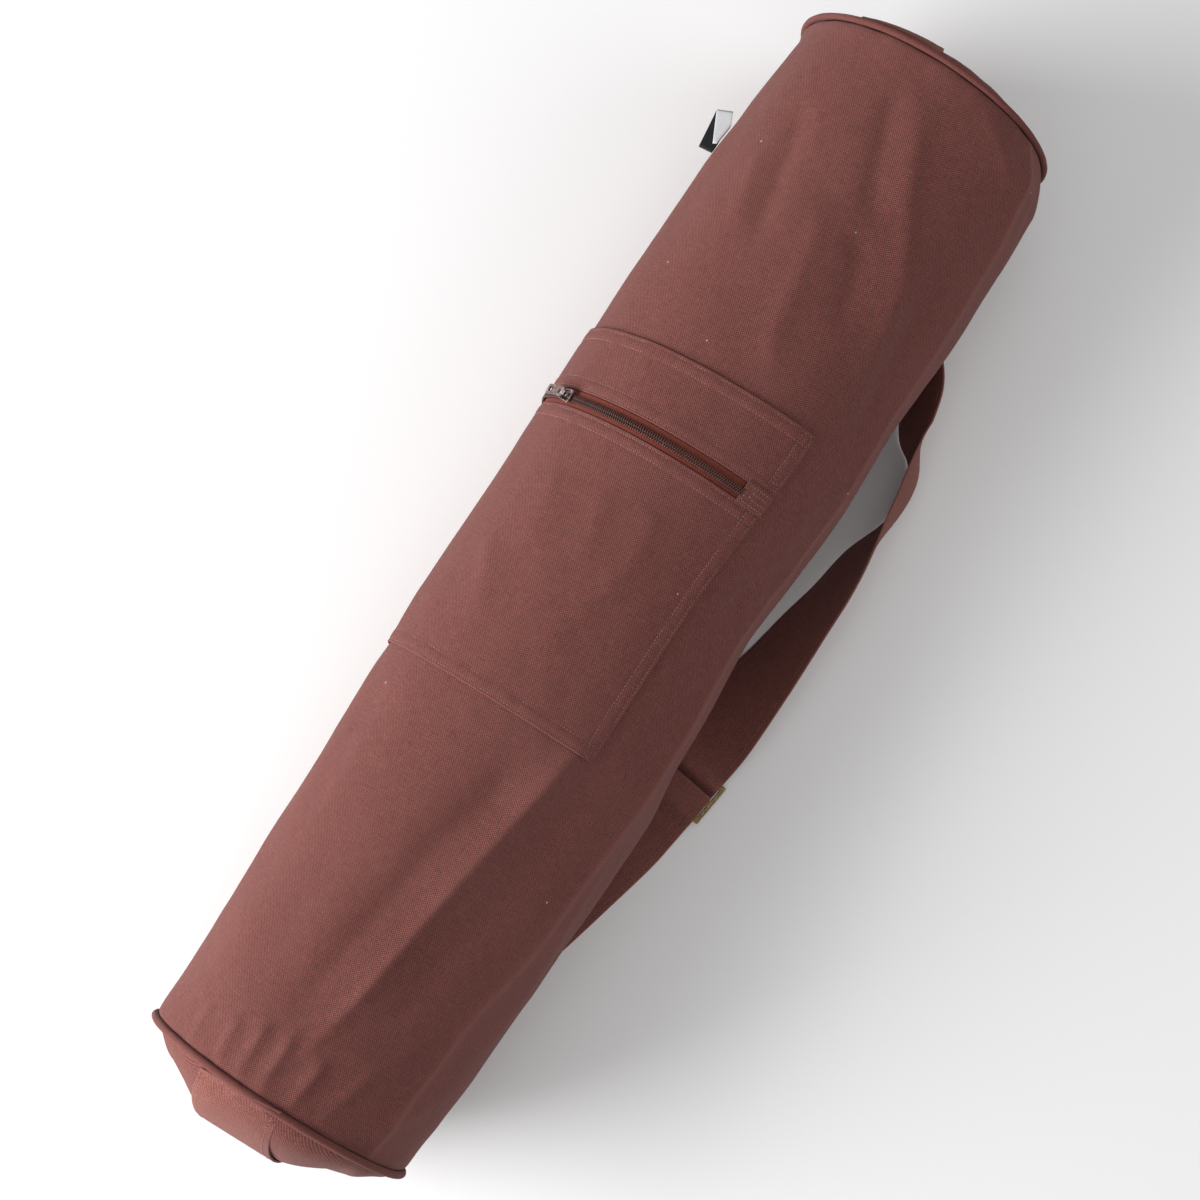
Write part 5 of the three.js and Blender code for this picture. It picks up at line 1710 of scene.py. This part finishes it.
@dataclass
class SewnLabels:
    """Two blank labels that stand out from the left side."""

    shape: TubeShape
    corner: tuple[float, float] = (266.5, 98)
    angle: float = -85
    thick: float = 0.7

    def plate(
        self, name: str, width: float, reach: float, lift: float, turn: float, curl: float
    ) -> bpy.types.Object:
        """A label of folded ribbon from the shared free corner, wrapped on the bag where it meets it.

        Args:
            name: the piece's name.
            width: its width along the bag.
            reach: how far it stands out.
            lift: how many labels lie under it.
            turn: its turn in degrees.
            curl: the rise of its free edge.

        Returns:
            The piece.
        """
        s = np.linspace(0, -1, 17) * width
        section = []
        for t in np.linspace(0, 2 * math.pi, 41):
            rise = math.copysign(abs(math.sin(t)) ** 0.35, math.sin(t))
            section.append((-reach * (0.5 + 0.5 * math.cos(t)), self.thick / 2 * rise))
        section = np.array(section)
        a = math.radians(turn)
        x = self.corner[0] + s[:, None] * math.cos(a) - section[None, :, 0] * math.sin(a)
        y = self.corner[1] + s[:, None] * math.sin(a) + section[None, :, 0] * math.cos(a)
        height = section[None, :, 1] * np.ones(x.shape)
        height[[0, -1]] = 0
        side = self.shape.points(x, np.full(x.shape, self.angle), 0.0)
        free = y - side[..., 1]
        reached = np.maximum(free, 0) / 8
        bend = curl * reached**2 + 0.25 * np.sin(s[:, None] / width * 5) * reached
        level = side[..., 2] + lift * (self.thick + 0.25) + height + bend
        rows = np.stack([x, y, level], axis=-1)
        down = self.angle + np.minimum(free, 0) * DEGREES_A_MM
        wrapped = self.shape.points(x, down, SEAT + self.thick / 2 + lift * (self.thick + 0.25) + height)
        share = step(free, -1.5, 2.0)[..., None]
        rows = wrapped * (1 - share) + rows * share
        round_mm = lengths_along(section)
        uv = np.stack(np.broadcast_arrays(s[:, None], round_mm[None, :]), axis=-1) * MM
        return skin(name, rows, uv)

    def build(self) -> None:
        """Builds and dresses both labels."""
        white = self.plate("white_blank_label", 20, 9.5, 1, 26, 0.3)
        dress(white, WHITE_SATIN.material(), "label_white", "label_white")
        black = self.plate("black_blank_label", 24, 9.5, 0, 7, -0.2)
        dress(black, BLACK_SATIN.material(), "label_black", "label_black")


@dataclass(frozen=True)
class Lamp:
    """A soft square light: where it stands, its size and its strength."""

    name: str
    place: tuple[float, float, float]
    size: float
    power: float
    colour: Colour = (1.0, 1.0, 1.0)


@dataclass
class Studio:
    """The pale floor, the soft lights and the camera."""

    focus: tuple[float, float, float] = (-0.0094, 0.0, 0.084)
    away: float = 1.4855
    tilt: float = 6.0
    focal: float = 78.4
    lamps: tuple[Lamp, ...] = (
        Lamp("left_soft_light", (-1.5, 1.65, 0.92), 1.7, 102.0),
        Lamp("upper_fill_light", (-0.3, 0.2, 2.8), 2.4, 14.0),
        Lamp("right_fill_light", (1.2, -1.8, 1.3), 1.6, 12.0),
    )

    def floor(self) -> None:
        """A plain pale floor."""
        bm = bmesh.new()
        bmesh.ops.create_grid(bm, x_segments=1, y_segments=1, size=6.0)
        mesh = bpy.data.meshes.new("studio_floor")
        bm.to_mesh(mesh)
        bm.free()
        floor = new_object("studio_floor", mesh)
        n = Nodes("pale_floor")
        n.surface.inputs["Base Color"].default_value = (0.93, 0.93, 0.93, 1)
        n.surface.inputs["Roughness"].default_value = 0.9
        n.surface.inputs["Specular IOR Level"].default_value = 0.1
        mesh.materials.append(n.material)

    def light(self) -> None:
        """The lamps and the even light of the room."""
        focus = Vector(self.focus)
        for lamp in self.lamps:
            data = bpy.data.lights.new(lamp.name, "AREA")
            data.shape = "SQUARE"
            data.size = lamp.size
            data.energy = lamp.power
            data.color = lamp.colour
            made = bpy.data.objects.new(lamp.name, data)
            made.location = lamp.place
            made.rotation_euler = (focus - Vector(lamp.place)).to_track_quat("-Z", "Y").to_euler()
            bpy.context.scene.collection.objects.link(made)
        world = bpy.data.worlds.new("room")
        world.use_nodes = True
        world.node_tree.nodes["Background"].inputs[0].default_value = (1, 1, 1, 1)
        world.node_tree.nodes["Background"].inputs[1].default_value = 0.3
        bpy.context.scene.world = world

    def camera(self) -> None:
        """The camera above the bag, turned so that the bag lies slantwise in the picture."""
        data = bpy.data.cameras.new("photo_camera")
        data.lens = self.focal
        data.sensor_width = 36
        data.clip_start = 0.05
        camera = bpy.data.objects.new("photo_camera", data)
        t = math.radians(self.tilt)
        back = Vector((-math.sin(t), 0, math.cos(t)))
        right_guess = Vector((0.547, -0.837, 0))
        right = (right_guess - back * right_guess.dot(back)).normalized()
        up = back.cross(right)
        turn = Matrix((right, up, back)).transposed().to_4x4()
        camera.matrix_world = Matrix.Translation(Vector(self.focus) + back * self.away) @ turn
        bpy.context.scene.collection.objects.link(camera)
        bpy.context.scene.camera = camera

    def build(self) -> None:
        """Sets up the studio."""
        self.floor()
        self.light()
        self.camera()
        bpy.context.scene.view_settings.view_transform = "Standard"


def main() -> None:
    """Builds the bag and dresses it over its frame."""
    logging.basicConfig(level=logging.INFO, format="%(name)s: %(message)s")
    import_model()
    Studio().build()
    bare = TubeShape()
    seams = {end: float(bare.points(np.array(end * HALF), np.array(180.0), bare=True)[2]) for end in (1, -1)}
    way = StrapWay(seams)
    strap_line, anchor_line = way.strap(), way.anchor()
    shape = TubeShape(way.underlay(strap_line, anchor_line))
    thread = Stitching()
    TubeAndEnds(shape).build()
    PocketAndZip(shape).build(thread)
    StrapAndFittings(strap_line, anchor_line).build(thread)
    ClosingZip(shape).build(thread)
    SewnLabels(shape).build()
    dress(thread.build("sewing_threads"), THREAD.material(), None)


if __name__ == "__main__":
    main()
